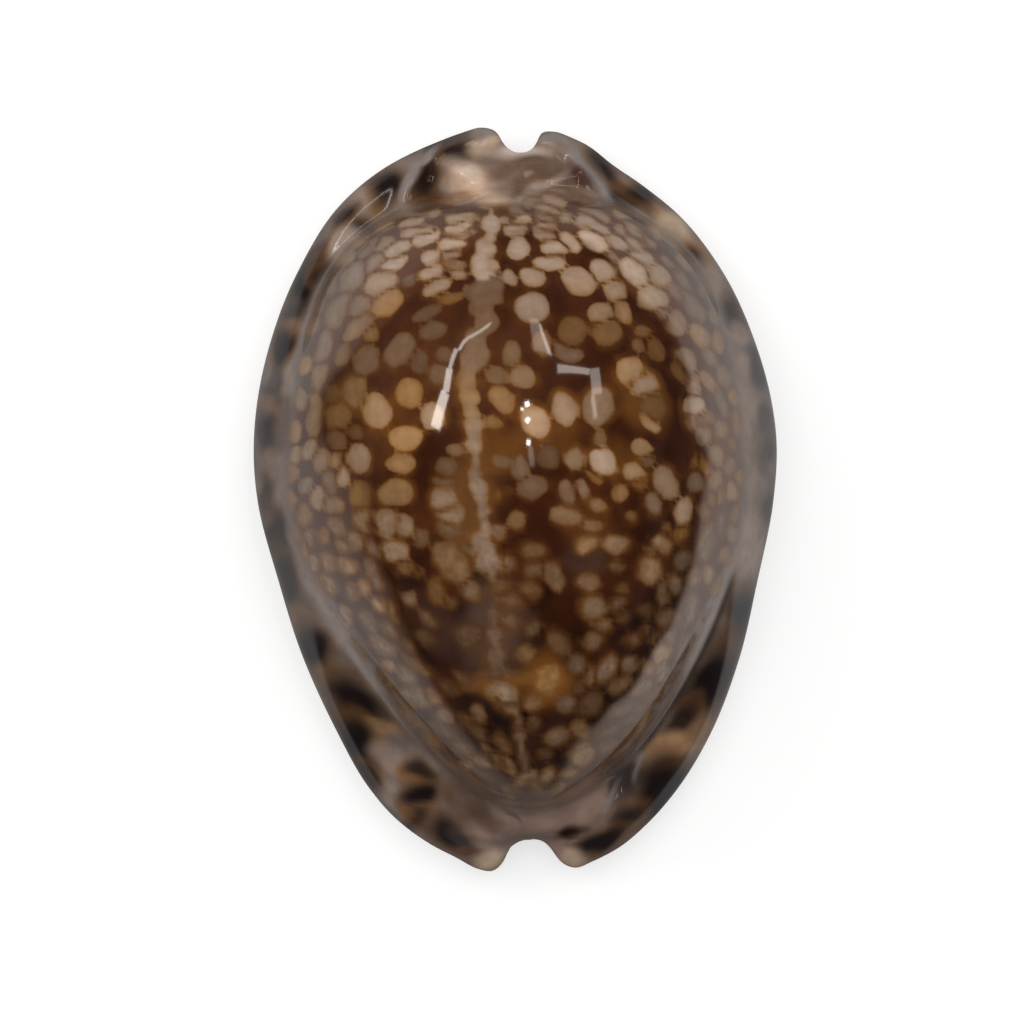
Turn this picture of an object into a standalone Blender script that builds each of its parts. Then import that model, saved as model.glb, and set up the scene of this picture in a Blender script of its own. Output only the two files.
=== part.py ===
"""Cowrie shell: one hollow solid with a domed back, flared margins, notched ends and a toothed aperture.

Lengths are millimetres until the mesh is made. +Y is the blunt spire end, -Y the tapering front end,
-X the outer-lip side, +X the inner-lip side, +Z the back. The base lies on z = 0.
"""

import math

import bpy
import numpy as np

MM = 0.001
NODE = "cowrie_shell"

# mesh density
TEETH = 22
ROWS_PER_TOOTH = 2
END_ROWS = 7
BASE_COLUMNS = 7
DORSAL_COLUMNS = 28

# enamel
ENAMEL_COLOUR = (0.16, 0.085, 0.04, 1.0)
ENAMEL_ROUGHNESS = 0.12

# body
TOP_HEIGHT = 28.6
DOME_FOOT = 4.6
DOME_HALF_WIDTH = 19.0
DOME_CENTRE_Y = 2.0
DOME_REAR = 23.6
DOME_FRONT = 28.0
DOME_SHIFT = 1.2
DOME_LEAN = 1.8
DOME_FLATNESS = 0.1
DOME_SQUARENESS = (-0.2, 0.7)
DOME_FALL = 6.0
SIDE_HALF_WIDTH = 21.7
HALF_LENGTH = 30.5

# outline seen from above: angle from the front tip, x, y
OUTER_LIP_EDGE = (
    (0.75, -0.3, -29.0),
    (1.5, -0.7, -29.5),
    (3.5, -0.95, -30.3),
    (6.0, -1.8, -31.1),
    (9.0, -3.1, -30.95),
    (13.0, -4.9, -30.0),
    (18.0, -7.0, -28.9),
    (25.0, -9.7, -26.95),
    (34.0, -12.3, -24.0),
    (46.0, -15.0, -19.2),
    (60.0, -17.7, -13.2),
    (75.0, -19.7, -6.8),
    (90.0, -21.4, -0.3),
    (105.0, -21.7, 5.8),
    (120.0, -20.6, 12.4),
    (134.0, -18.3, 18.7),
    (146.0, -15.0, 24.15),
    (155.0, -11.7, 27.15),
    (162.0, -8.8, 28.85),
    (167.0, -6.3, 29.95),
    (171.0, -4.3, 30.7),
    (174.0, -2.8, 31.1),
    (176.5, -1.6, 30.75),
    (178.5, -1.0, 29.8),
    (179.25, -0.6, 29.15),
)
INNER_LIP_EDGE = (
    (0.75, 2.4, -28.0),
    (1.5, 2.75, -28.6),
    (3.5, 3.2, -29.5),
    (6.0, 3.9, -30.4),
    (9.0, 5.0, -30.85),
    (13.0, 6.5, -30.3),
    (18.0, 8.6, -29.2),
    (25.0, 11.0, -27.2),
    (34.0, 13.6, -24.2),
    (46.0, 16.4, -19.5),
    (60.0, 18.7, -13.4),
    (75.0, 20.2, -6.8),
    (90.0, 21.5, -0.2),
    (105.0, 21.7, 5.8),
    (120.0, 20.3, 12.3),
    (134.0, 17.6, 18.6),
    (146.0, 14.0, 23.45),
    (155.0, 10.7, 26.2),
    (162.0, 8.1, 28.0),
    (167.0, 6.2, 29.5),
    (171.0, 4.6, 30.3),
    (174.0, 3.3, 30.75),
    (176.5, 2.2, 30.6),
    (178.5, 1.75, 29.6),
    (179.25, 1.45, 29.05),
)

# canal notches: x of the middle, y of the floor, half width, middle height, half height
FRONT_NOTCH = (1.0, -28.45, 1.4, 2.5, 1.8)
REAR_NOTCH = (0.45, 28.9, 1.1, 2.7, 1.9)
RIM_ANGLE = 1.5
NOTCH_SPREAD = 12.0
RIM_DEPTH = 7.0
END_ROW_CROWDING = 1.3

# margins
MARGIN_LOW = 3.4
MARGIN_HIGH = 5.6
MARGIN_SPAN = 13.5
FLANGE_LOW = 2.2
FLANGE_HIGH = 3.3
FLANGE_SLOPE_LOW = 0.36
FLANGE_SLOPE_HIGH = 1.0
FLANGE_REACH = 9.0
ROLL_LOW = 1.9
ROLL_HIGH = 3.2
CREASE_SHARP = 1.8
CREASE_SOFT = 7.0
CANAL_CREASE = 0.9
EDGE_FILLET = 0.4
WAVE_HEIGHT = 0.25

# roofs of the canals: x and y of the middle, half width, half length, height at the foot, rise
REAR_ROOF = (0.0, 26.0, 9.0, 2.24, 5.2, 2.0)
FRONT_ROOF = (1.4, -23.0, 6.6, 5.9, 3.0, 5.6)

# ridges of the ends: line of points, width, height
RIDGES = (
    (((-3.6, 30.2), (-6.6, 29.1), (-8.1, 27.6), (-9.1, 24.6)), 0.7, 0.8),
    (((3.1, 30.2), (4.6, 28.9), (5.8, 27.3), (6.9, 25.4), (8.9, 23.6)), 0.7, 0.8),
    (((8.9, 23.6), (12.2, 20.6), (15.5, 17.5), (18.3, 12.6)), 0.7, 0.5),
    (((-4.7, 27.2), (-3.2, 26.2), (-1.3, 25.3)), 1.45, 2.2),
    (((-0.3, 24.6), (1.8, 25.9), (4.6, 26.9)), 0.5, 0.7),
    (((-16.6, 15.8), (-17.6, 13.6), (-18.5, 11.0)), 0.3, -0.3),
    (((10.7, -20.3), (10.3, -22.3), (8.9, -24.6), (7.5, -26.2)), 0.5, 0.5),
    (((8.0, -23.2), (7.3, -25.3), (5.6, -27.1)), 0.6, 0.5),
    (((-4.0, -28.0), (-0.8, -28.5), (2.4, -27.5), (5.0, -27.3)), 0.4, 0.3),
)

# hollows of the ends: x, y, half width, half length, height
HOLLOWS = (
    (-6.8, 26.5, 1.3, 1.6, -1.4),
    (4.0, 27.9, 1.2, 0.9, -0.8),
    (7.4, 27.3, 0.9, 1.2, -0.4),
    (4.6, -27.9, 0.9, 0.45, -1.5),
    (9.0, -23.6, 0.8, 1.6, -0.8),
    (-3.2, -26.6, 1.6, 0.8, -0.4),
)

# base and aperture
BASE_ROLL_END = 2.6
BASE_ROLL_SIDE = 7.5
APERTURE_BULGE = -1.9
APERTURE_HALF_WIDTH = 1.1
APERTURE_FRONT_FLARE = 0.7
APERTURE_REAR_PINCH = 0.45
LIP_END = 28.3
LIP_ROLL = 2.3
LIP_HEIGHT = 2.0
TOOTH_SPAN = 24.0
TOOTH_DEPTH = 0.5
TOOTH_REACH = 3.6
TOOTH_LEAN = 0.35
END_RISE = 0.7

# hollow
CAVITY_HALF_WIDTH = 13.6
CAVITY_REAR = 21.5
CAVITY_FRONT = -24.0
ROOF_THICKNESS = 2.5
CAVITY_FLOOR = 5.0
CANAL_FLOOR = 2.9
CANAL_ROOF = 3.7
CANAL_UNDERCUT = 0.7
CAVITY_ROUNDNESS = 0.7
CAVITY_TAPER = 0.16
CAVITY_CENTRE_X = 0.3
CAVITY_SPAN = 168.0
CANAL_SPAN_CUT = 0.3
LIP_JOIN = 0.14


def hermite(stations, column, at):
    """Smooth curve through a column of the stations."""
    table = np.array(stations, float)
    x = table[:, 0]
    y = table[:, column]
    slope = np.gradient(y, x)
    at = np.clip(at, x[0], x[-1])
    i = np.clip(np.searchsorted(x, at) - 1, 0, len(x) - 2)
    step = x[i + 1] - x[i]
    u = (at - x[i]) / step
    rise = (2 * u**3 - 3 * u**2 + 1) * y[i] + (3 * u**2 - 2 * u**3) * y[i + 1]
    return rise + step * ((u**3 - 2 * u**2 + u) * slope[i] + (u**3 - u**2) * slope[i + 1])


def smooth_max(a, b, reach):
    """Larger of two heights, with their meeting filled over the reach."""
    h = np.maximum(reach - np.abs(a - b), 0.0) / reach
    return np.maximum(a, b) + h**3 * reach / 6.0


def ease(u):
    """Smooth step from 0 to 1."""
    u = np.clip(u, 0.0, 1.0)
    return u * u * (3.0 - 2.0 * u)


def quarter(u):
    """Quarter round: 0 at the edge with an upright start, 1 from u = 1 on."""
    u = np.clip(u, 0.0, 1.0)
    return np.sqrt(np.maximum(1.0 - (1.0 - u) ** 2, 0.0))


def bump(x, y, at_x, at_y, wide, long):
    """Rounded bump of height 1."""
    return np.exp(-(((x - at_x) / wide) ** 2) - ((y - at_y) / long) ** 2)


def line_bump(x, y, points, width):
    """Rounded ridge of height 1 along a line of points."""
    near = np.full(np.shape(x), 1.0e6)
    for (x0, y0), (x1, y1) in zip(points[:-1], points[1:]):
        length = (x1 - x0) ** 2 + (y1 - y0) ** 2
        u = np.clip(((x - x0) * (x1 - x0) + (y - y0) * (y1 - y0)) / length, 0.0, 1.0)
        near = np.minimum(near, (x - x0 - u * (x1 - x0)) ** 2 + (y - y0 - u * (y1 - y0)) ** 2)
    return np.exp(-near / width**2)


def edge_point(angle, side):
    """Outline seen from above at an angle from the front tip, on one side."""
    stations = INNER_LIP_EDGE if side > 0 else OUTER_LIP_EDGE
    front = (0.0, FRONT_NOTCH[0] + side * FRONT_NOTCH[2], FRONT_NOTCH[1])
    rear = (180.0, REAR_NOTCH[0] + side * REAR_NOTCH[2], REAR_NOTCH[1])
    stations = (front,) + stations + (rear,)
    return hermite(stations, 1, angle), hermite(stations, 2, angle)


def notch_share(angle, notch):
    """How much a canal opening acts at an angle from the front tip."""
    away = angle if notch is FRONT_NOTCH else 180.0 - angle
    return np.exp(-((away / NOTCH_SPREAD) ** 2))


def opening(angle, column):
    """Half width or half height that the canals add at an angle from the front tip."""
    front = FRONT_NOTCH[column] * notch_share(angle, FRONT_NOTCH)
    return front + REAR_NOTCH[column] * notch_share(angle, REAR_NOTCH)


def mid_share(y):
    """1 beside the middle of the dome, 0 at the four corners."""
    return np.exp(-(np.abs((y - 0.5) / MARGIN_SPAN) ** 3))


def edge_height(angle, y):
    """Height of the widest line."""
    low = MARGIN_LOW
    low = low + (FRONT_NOTCH[3] - low) * notch_share(angle, FRONT_NOTCH)
    low = low + (REAR_NOTCH[3] - low) * notch_share(angle, REAR_NOTCH)
    return low + (MARGIN_HIGH - MARGIN_LOW) * mid_share(y)


def dome_spread(x, y):
    """1 on the foot line of the dome, 0 at its top."""
    away = y - DOME_CENTRE_Y
    half = 0.5 * (DOME_REAR + DOME_FRONT) + 0.5 * (DOME_REAR - DOME_FRONT) * np.tanh(away / 12.0)
    f = away / half
    square = DOME_SQUARENESS[0] + DOME_SQUARENESS[1] * np.tanh(f / 0.3)
    height_share = np.maximum(1.0 - (x / DOME_HALF_WIDTH) ** 2 - f**2, 0.0)
    shift = DOME_SHIFT * ease((-y - 4.0) / 22.0) + DOME_LEAN * ease((3.0 - y) / 9.0) * height_share
    across = (x - shift) / DOME_HALF_WIDTH
    return across**2 + f**2 - square * across**2 * f**2


def dome_height(x, y):
    """Height of the dome, falling away past its foot line."""
    spread = dome_spread(x, y)
    inside = np.sqrt(np.maximum(1.0 - (1.0 - DOME_FLATNESS) * spread - DOME_FLATNESS * spread**2, 0.0))
    outside = np.minimum(1.0 - spread, 0.0) * DOME_FALL
    return DOME_FOOT + (TOP_HEIGHT - DOME_FOOT) * inside + outside


def flange_height(x, y, edge, inward):
    """Upper side of the margin."""
    share = mid_share(y)
    thick = FLANGE_LOW + (FLANGE_HIGH - FLANGE_LOW) * share
    slope = FLANGE_SLOPE_LOW + (FLANGE_SLOPE_HIGH - FLANGE_SLOPE_LOW) * share
    return edge + thick + slope * np.minimum(inward, FLANGE_REACH)


def rear_platform(x, y):
    """Roof of the rear canal."""
    at_x, at_y, wide, long, foot, rise = REAR_ROOF
    across = ((x - at_x) / wide) ** 2
    along = (np.maximum(y - at_y, 0.0) / long) ** 2
    return foot + rise - rise * across - along - 40.0 * ease((22.0 - y) / 4.0)


def front_platform(x, y):
    """Rounded roof of the front canal."""
    at_x, at_y, wide, long, foot, rise = FRONT_ROOF
    across = ((x - at_x) / wide) ** 2
    along = ((y - at_y) / long) ** 2
    spread = across + along - 0.6 * np.minimum(across, 1.0) * np.minimum(along, 1.0)
    inside = np.sqrt(np.maximum(1.0 - spread, 0.0))
    return foot + rise * inside + 5.0 * np.minimum(1.0 - spread, 0.0)


def surface_details(x, y):
    """Small ridges, hollows and folds of the back."""
    z = WAVE_HEIGHT * np.sin(x * 0.55 + 1.0) * np.sin(y * 0.5) * (1.0 - mid_share(y))
    for points, width, height in RIDGES:
        z = z + height * line_bump(x, y, points, width)
    for at_x, at_y, wide, long, height in HOLLOWS:
        z = z + height * bump(x, y, at_x, at_y, wide, long)
    return z


def back_height(x, y, edge, inward):
    """Height of the back seen from above."""
    reach = CREASE_SHARP + (CREASE_SOFT - CREASE_SHARP) * mid_share(y)
    z = smooth_max(dome_height(x, y), flange_height(x, y, edge, inward), reach)
    z = smooth_max(z, rear_platform(x, y), CANAL_CREASE)
    z = smooth_max(z, front_platform(x, y), CANAL_CREASE)
    return z + surface_details(x, y)


def back_plan(tau, lon):
    """Plan position of the back, how far it is from the edge, and its angle from the front tip."""
    cx = np.sin(tau) * np.sin(lon)
    cy = -np.cos(tau) * np.ones_like(lon)
    cz = np.sin(tau) * np.cos(lon)
    rho = np.sqrt(cx**2 + cy**2)
    angle = np.degrees(np.arctan2(np.abs(cx), -cy))
    side = np.where(cx < 0.0, -1.0, 1.0)
    left_x, left_y = edge_point(angle, -1)
    right_x, right_y = edge_point(angle, 1)
    out_x = np.where(side < 0, left_x, right_x) - side * opening(angle, 2)
    pull = rho**4
    x = SIDE_HALF_WIDTH * cx + pull * (out_x - SIDE_HALF_WIDTH * np.sin(np.radians(angle)) * side)
    end_shift = np.where(cy < 0.0, FRONT_NOTCH[1] + HALF_LENGTH, REAR_NOTCH[1] - HALF_LENGTH) * cy**2
    side_shift = np.where(side < 0, left_y, right_y) + HALF_LENGTH * np.cos(np.radians(angle))
    y = HALF_LENGTH * cy + pull * (end_shift * np.cos(lon) ** 2 + side_shift * np.sin(lon) ** 2)
    x = x + opening(np.degrees(tau), 2) * np.sin(lon)
    radius = np.hypot(SIDE_HALF_WIDTH * np.sin(np.radians(angle)), HALF_LENGTH * np.cos(np.radians(angle)))
    inward = cz**2 / (1.0 + rho) * radius
    return x, y, inward, angle


def back_surface(tau, lon):
    """Back of the shell: rows from front to rear, longitude from the outer lip to the inner lip."""
    x, y, inward, angle = back_plan(tau, lon)
    edge = edge_height(angle, y)
    roll = ROLL_LOW + (ROLL_HIGH - ROLL_LOW) * mid_share(y)
    start = edge + opening(np.degrees(tau), 4) * np.cos(lon)
    top = smooth_max(back_height(x, y, edge, inward), start + EDGE_FILLET, EDGE_FILLET)
    z = start + (top - start) * quarter(inward / roll)
    return np.stack((x, y, z), axis=-1)


def lip_line(tau, side):
    """Edge of one lip along the aperture."""
    y = -LIP_END * np.cos(tau)
    front = ease((-y - 2.0) / 26.0)
    middle = APERTURE_BULGE * (1.0 - (y / LIP_END) ** 2)
    middle = middle + np.where(y < 0, FRONT_NOTCH[0], REAR_NOTCH[0]) * (y / LIP_END) ** 2
    half = APERTURE_HALF_WIDTH + APERTURE_FRONT_FLARE * front - APERTURE_REAR_PINCH * ease((y - 8.0) / 20.0)
    return middle + side * half, y


def groove(y):
    """0 on a tooth, 1 between two teeth, 0 past the last tooth."""
    phase = (y + TOOTH_SPAN) / (2.0 * TOOTH_SPAN) * TEETH
    ends = ease((TOOTH_SPAN - np.abs(y)) / 1.5 + 0.3)
    return (0.5 - 0.5 * np.cos(2.0 * math.pi * phase)) * ends


def base_surface(tau, along, side):
    """Underside from the widest line (along 0) to the lip edge (along 1)."""
    angle = np.degrees(tau)
    edge_x, edge_y = edge_point(angle, side)
    lip_x, lip_y = lip_line(tau, side)
    share = 0.5 - 0.5 * np.cos(math.pi * along)
    x = edge_x + (lip_x - edge_x) * share
    y = edge_y + (lip_y - edge_y) * share
    from_edge = np.sqrt((x - edge_x) ** 2 + (y - edge_y) ** 2)
    from_lip = np.sqrt((x - lip_x) ** 2 + (y - lip_y) ** 2)
    roll = BASE_ROLL_END + (BASE_ROLL_SIDE - BASE_ROLL_END) * mid_share(y)
    past_edge = quarter(from_edge / roll)
    rise = END_RISE * ease((np.abs(y) - 24.5) / 6.0) + LIP_HEIGHT * (1.0 - quarter(from_lip / LIP_ROLL))
    z = edge_height(angle, edge_y) * (1.0 - past_edge) + rise * past_edge
    cut = groove(lip_y) * (1.0 - ease(from_lip / TOOTH_REACH))
    return np.stack((x + side * TOOTH_LEAN * cut, y, z + TOOTH_DEPTH * cut), axis=-1)


def cavity_surface(tau, turn, left, right):
    """Wall of the hollow from the outer lip (turn 0) over the roof to the inner lip (turn 1)."""
    y = -LIP_END * np.cos(tau) * np.ones_like(turn)
    middle = 0.5 * (CAVITY_REAR + CAVITY_FRONT)
    reach = 0.5 * (CAVITY_REAR - CAVITY_FRONT)
    body = np.maximum(1.0 - ((y - middle) / reach) ** 2, 0.0) ** CAVITY_ROUNDNESS
    canal_x = 0.5 * (left[..., 0] + right[..., 0])
    canal_half = 0.5 * (right[..., 0] - left[..., 0]) + CANAL_UNDERCUT
    body_half = CAVITY_HALF_WIDTH * (1.0 - CAVITY_TAPER * ease((-y - 3.0) / 18.0))
    half = canal_half + (body_half - canal_half) * body
    centre_x = canal_x * (1.0 - body) + CAVITY_CENTRE_X * body
    top = CANAL_ROOF + (TOP_HEIGHT - ROOF_THICKNESS - CANAL_ROOF) * body
    floor = CANAL_FLOOR + (CAVITY_FLOOR - CANAL_FLOOR) * body
    span = math.radians(CAVITY_SPAN) * (1.0 - CANAL_SPAN_CUT * (1.0 - body))
    lon = (2.0 * turn - 1.0) * span
    x = centre_x + half * np.sin(lon)
    z = 0.5 * (top + floor) + 0.5 * (top - floor) * np.cos(lon)
    points = np.stack((x, y, z), axis=-1)
    near_left = (1.0 - ease(turn / LIP_JOIN))[..., None]
    near_right = (1.0 - ease((1.0 - turn) / LIP_JOIN))[..., None]
    points = points + (left - points[:, :1]) * near_left
    return points + (right - points[:, -1:]) * near_right


def row_angles():
    """Angles of the rows from the front rim to the rear rim, two per tooth where there are teeth."""
    count = TEETH * ROWS_PER_TOOTH
    y = np.linspace(-TOOTH_SPAN, TOOTH_SPAN, count + 1)
    middle = np.arccos(-y / LIP_END)
    start = math.radians(RIM_ANGLE)
    share = np.linspace(0.0, 1.0, END_ROWS, endpoint=False)
    front = start + (middle[0] - start) * share**END_ROW_CROWDING
    return np.concatenate((front, middle, math.pi - front[::-1]))[:, None]


def outer_surface(tau):
    """Outer skin as rows of points from the outer lip round the back to the inner lip."""
    along = np.linspace(1.0, 0.0, BASE_COLUMNS + 1)[None, :]
    lon = np.radians(np.linspace(-90.0, 90.0, DORSAL_COLUMNS + 1))[None, :]
    left = base_surface(tau, along, -1)
    right = base_surface(tau, along[:, ::-1], 1)
    return np.concatenate((left, back_surface(tau, lon)[:, 1:-1], right), axis=1)


def inner_surface(tau, outer):
    """Wall of the hollow, joined to the outer skin along the lips and round both canal rims."""
    turn = np.linspace(0.0, 1.0, outer.shape[1])[None, :]
    inner = cavity_surface(tau, turn, outer[:, :1], outer[:, -1:])
    away = np.degrees(np.minimum(tau, math.pi - tau)) - RIM_ANGLE
    fade = (1.0 - ease(away / RIM_DEPTH))[..., None]
    shift = np.where((tau < 0.5 * math.pi)[..., None], outer[:1] - inner[:1], outer[-1:] - inner[-1:])
    inner = inner + shift * fade
    inner[:, 0] = outer[:, 0]
    inner[:, -1] = outer[:, -1]
    inner[0] = outer[0]
    inner[-1] = outer[-1]
    return inner


def shell_mesh():
    """Points and faces of the closed shell."""
    tau = row_angles()
    outer = outer_surface(tau)
    inner = inner_surface(tau, outer)
    rows, columns = outer.shape[:2]
    points = list(outer.reshape(-1, 3))
    inner_index = np.arange(rows * columns).reshape(rows, columns)
    for r in range(1, rows - 1):
        for c in range(1, columns - 1):
            inner_index[r, c] = len(points)
            points.append(inner[r, c])
    outer_index = np.arange(rows * columns).reshape(rows, columns)
    faces = []
    for r in range(rows - 1):
        for c in range(columns - 1):
            faces.append(corner_ring(outer_index, r, c)[::-1])
            faces.append(corner_ring(inner_index, r, c))
    return np.array(points), faces


def corner_ring(index, r, c):
    """Corners of one cell."""
    return (int(index[r, c]), int(index[r + 1, c]), int(index[r + 1, c + 1]), int(index[r, c + 1]))


def shell_material():
    """Plain brown enamel."""
    material = bpy.data.materials.new("shell")
    material.use_nodes = True
    shader = material.node_tree.nodes["Principled BSDF"]
    shader.inputs["Base Color"].default_value = ENAMEL_COLOUR
    shader.inputs["Roughness"].default_value = ENAMEL_ROUGHNESS
    shader.inputs["Metallic"].default_value = 0.0
    return material


def build_shell():
    """The shell as one named object."""
    points, faces = shell_mesh()
    mesh = bpy.data.meshes.new(NODE)
    mesh.from_pydata([tuple(p * MM) for p in points], [], faces)
    mesh.validate()
    shell = bpy.data.objects.new(NODE, mesh)
    shell.data.materials.append(shell_material())
    bpy.context.scene.collection.objects.link(shell)
    return shell


def clear_scene():
    """Empties the scene."""
    for item in list(bpy.data.objects):
        bpy.data.objects.remove(item, do_unlink=True)


clear_scene()
build_shell()
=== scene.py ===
"""Cowrie shell dressed for rendering: fine mesh on the CAD solid, painted enamel, floor, lamps and camera.

Lengths are millimetres until a mesh or an object is made. +Y is the blunt spire end, +Z the back.
"""

import math

import bpy
import numpy as np
from mathutils import Matrix, Vector


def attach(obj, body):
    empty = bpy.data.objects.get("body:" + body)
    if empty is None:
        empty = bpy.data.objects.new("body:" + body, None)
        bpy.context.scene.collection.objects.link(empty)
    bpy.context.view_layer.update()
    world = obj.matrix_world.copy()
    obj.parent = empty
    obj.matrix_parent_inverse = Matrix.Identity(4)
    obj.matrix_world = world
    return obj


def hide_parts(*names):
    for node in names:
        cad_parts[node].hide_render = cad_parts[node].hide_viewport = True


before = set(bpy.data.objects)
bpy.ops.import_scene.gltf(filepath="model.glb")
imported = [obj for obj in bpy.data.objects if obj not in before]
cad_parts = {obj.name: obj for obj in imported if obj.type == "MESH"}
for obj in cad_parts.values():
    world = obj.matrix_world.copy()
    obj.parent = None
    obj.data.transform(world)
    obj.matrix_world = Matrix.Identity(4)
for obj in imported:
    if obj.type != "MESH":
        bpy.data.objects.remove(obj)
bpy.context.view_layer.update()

MM = 0.001
NODE = "cowrie_shell"

# mesh density
TEETH = 22
ROWS_PER_TOOTH = 7
END_ROWS = 32
BASE_COLUMNS = 30
DORSAL_COLUMNS = 150

# body; a ramp is where it starts and how long it runs
TOP_HEIGHT = 28.6
DOME_FOOT = 4.6
DOME_HALF_WIDTH = 19.0
DOME_CENTRE_Y = 2.0
DOME_REAR = 23.6
DOME_FRONT = 28.0
DOME_SHIFT = 1.2
DOME_SHIFT_RAMP = (-4.0, 22.0)
DOME_LEAN = 1.8
DOME_LEAN_RAMP = (3.0, 9.0)
DOME_FLATNESS = 0.1
DOME_SQUARENESS = (-0.2, 0.7)
DOME_FALL = 6.0
DOME_END_BLEND = 12.0
DOME_SQUARE_BLEND = 0.3
SIDE_HALF_WIDTH = 21.7
HALF_LENGTH = 30.5

# outline seen from above: angle from the front tip, x, y
OUTER_LIP_EDGE = (
    (0.75, -0.3, -29.0),
    (1.5, -0.7, -29.5),
    (3.5, -0.95, -30.3),
    (6.0, -1.8, -31.1),
    (9.0, -3.1, -30.95),
    (13.0, -4.9, -30.0),
    (18.0, -7.0, -28.9),
    (25.0, -9.7, -26.95),
    (34.0, -12.3, -24.0),
    (46.0, -15.0, -19.2),
    (60.0, -17.7, -13.2),
    (75.0, -19.7, -6.8),
    (90.0, -21.4, -0.3),
    (105.0, -21.7, 5.8),
    (120.0, -20.6, 12.4),
    (134.0, -18.3, 18.7),
    (146.0, -15.0, 24.15),
    (155.0, -11.7, 27.15),
    (162.0, -8.8, 28.85),
    (167.0, -6.3, 29.95),
    (171.0, -4.3, 30.7),
    (174.0, -2.8, 31.1),
    (176.5, -1.6, 30.75),
    (178.5, -1.0, 29.8),
    (179.25, -0.6, 29.15),
)
INNER_LIP_EDGE = (
    (0.75, 2.4, -28.0),
    (1.5, 2.75, -28.6),
    (3.5, 3.2, -29.5),
    (6.0, 3.9, -30.4),
    (9.0, 5.0, -30.85),
    (13.0, 6.5, -30.3),
    (18.0, 8.6, -29.2),
    (25.0, 11.0, -27.2),
    (34.0, 13.6, -24.2),
    (46.0, 16.4, -19.5),
    (60.0, 18.7, -13.4),
    (75.0, 20.2, -6.8),
    (90.0, 21.5, -0.2),
    (105.0, 21.7, 5.8),
    (120.0, 20.3, 12.3),
    (134.0, 17.6, 18.6),
    (146.0, 14.0, 23.45),
    (155.0, 10.7, 26.2),
    (162.0, 8.1, 28.0),
    (167.0, 6.2, 29.5),
    (171.0, 4.6, 30.3),
    (174.0, 3.3, 30.75),
    (176.5, 2.2, 30.6),
    (178.5, 1.75, 29.6),
    (179.25, 1.45, 29.05),
)

# canal notches: x of the middle, y of the floor, half width, middle height, half height
FRONT_NOTCH = (1.0, -28.45, 1.4, 2.5, 1.8)
REAR_NOTCH = (0.45, 28.9, 1.1, 2.7, 1.9)
RIM_ANGLE = 1.5
NOTCH_SPREAD = 12.0
RIM_DEPTH = 7.0
END_ROW_CROWDING = 1.3

# margins
MARGIN_LOW = 3.4
MARGIN_HIGH = 5.6
MARGIN_MIDDLE = 0.5
MARGIN_SPAN = 13.5
FLANGE_LOW = 2.2
FLANGE_HIGH = 3.3
FLANGE_SLOPE_LOW = 0.36
FLANGE_SLOPE_HIGH = 1.0
FLANGE_REACH = 9.0
ROLL_LOW = 1.9
ROLL_HIGH = 3.2
CREASE_SHARP = 1.8
CREASE_SOFT = 7.0
CANAL_CREASE = 0.9
EDGE_FILLET = 0.4
WAVE_HEIGHT = 0.25
WAVE_ACROSS = 0.55
WAVE_ALONG = 0.5
WAVE_SHIFT = 1.0

# roofs of the canals: x and y of the middle, half width, half length, height at the foot, rise
REAR_ROOF = (0.0, 26.0, 9.0, 2.24, 5.2, 2.0)
FRONT_ROOF = (1.4, -23.0, 6.6, 5.9, 3.0, 5.6)
REAR_ROOF_FRONT = (22.0, 4.0)
REAR_ROOF_DROP = 40.0
FRONT_ROOF_SQUARENESS = 0.6
FRONT_ROOF_FALL = 5.0

# ridges of the ends: line of points, width, height
RIDGES = (
    (((-3.6, 30.2), (-6.6, 29.1), (-8.1, 27.6), (-9.1, 24.6)), 0.7, 0.8),
    (((3.1, 30.2), (4.6, 28.9), (5.8, 27.3), (6.9, 25.4), (8.9, 23.6)), 0.7, 0.8),
    (((8.9, 23.6), (12.2, 20.6), (15.5, 17.5), (18.3, 12.6)), 0.7, 0.5),
    (((-4.7, 27.2), (-3.2, 26.2), (-1.3, 25.3)), 1.45, 2.2),
    (((-0.3, 24.6), (1.8, 25.9), (4.6, 26.9)), 0.5, 0.7),
    (((-16.6, 15.8), (-17.6, 13.6), (-18.5, 11.0)), 0.3, -0.3),
    (((10.7, -20.3), (10.3, -22.3), (8.9, -24.6), (7.5, -26.2)), 0.5, 0.5),
    (((8.0, -23.2), (7.3, -25.3), (5.6, -27.1)), 0.6, 0.5),
    (((-4.0, -28.0), (-0.8, -28.5), (2.4, -27.5), (5.0, -27.3)), 0.4, 0.3),
)

# hollows of the ends: x, y, half width, half length, height
HOLLOWS = (
    (-6.8, 26.5, 1.3, 1.6, -1.4),
    (4.0, 27.9, 1.2, 0.9, -0.8),
    (7.4, 27.3, 0.9, 1.2, -0.4),
    (4.6, -27.9, 0.9, 0.45, -1.5),
    (9.0, -23.6, 0.8, 1.6, -0.8),
    (-3.2, -26.6, 1.6, 0.8, -0.4),
)

# base and aperture
BASE_ROLL_END = 2.6
BASE_ROLL_SIDE = 7.5
APERTURE_BULGE = -1.9
APERTURE_HALF_WIDTH = 1.1
APERTURE_FRONT_FLARE = 0.7
APERTURE_FRONT_RAMP = (-2.0, 26.0)
APERTURE_REAR_PINCH = 0.45
APERTURE_REAR_RAMP = (8.0, 20.0)
LIP_END = 28.3
LIP_ROLL = 2.3
LIP_HEIGHT = 2.0
TOOTH_SPAN = 24.0
TOOTH_DEPTH = 0.5
TOOTH_REACH = 3.6
TOOTH_LEAN = 0.35
TOOTH_FADE = 1.5
TOOTH_FADE_START = 0.3
END_RISE = 0.7
END_RISE_RAMP = (24.5, 6.0)

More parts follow.
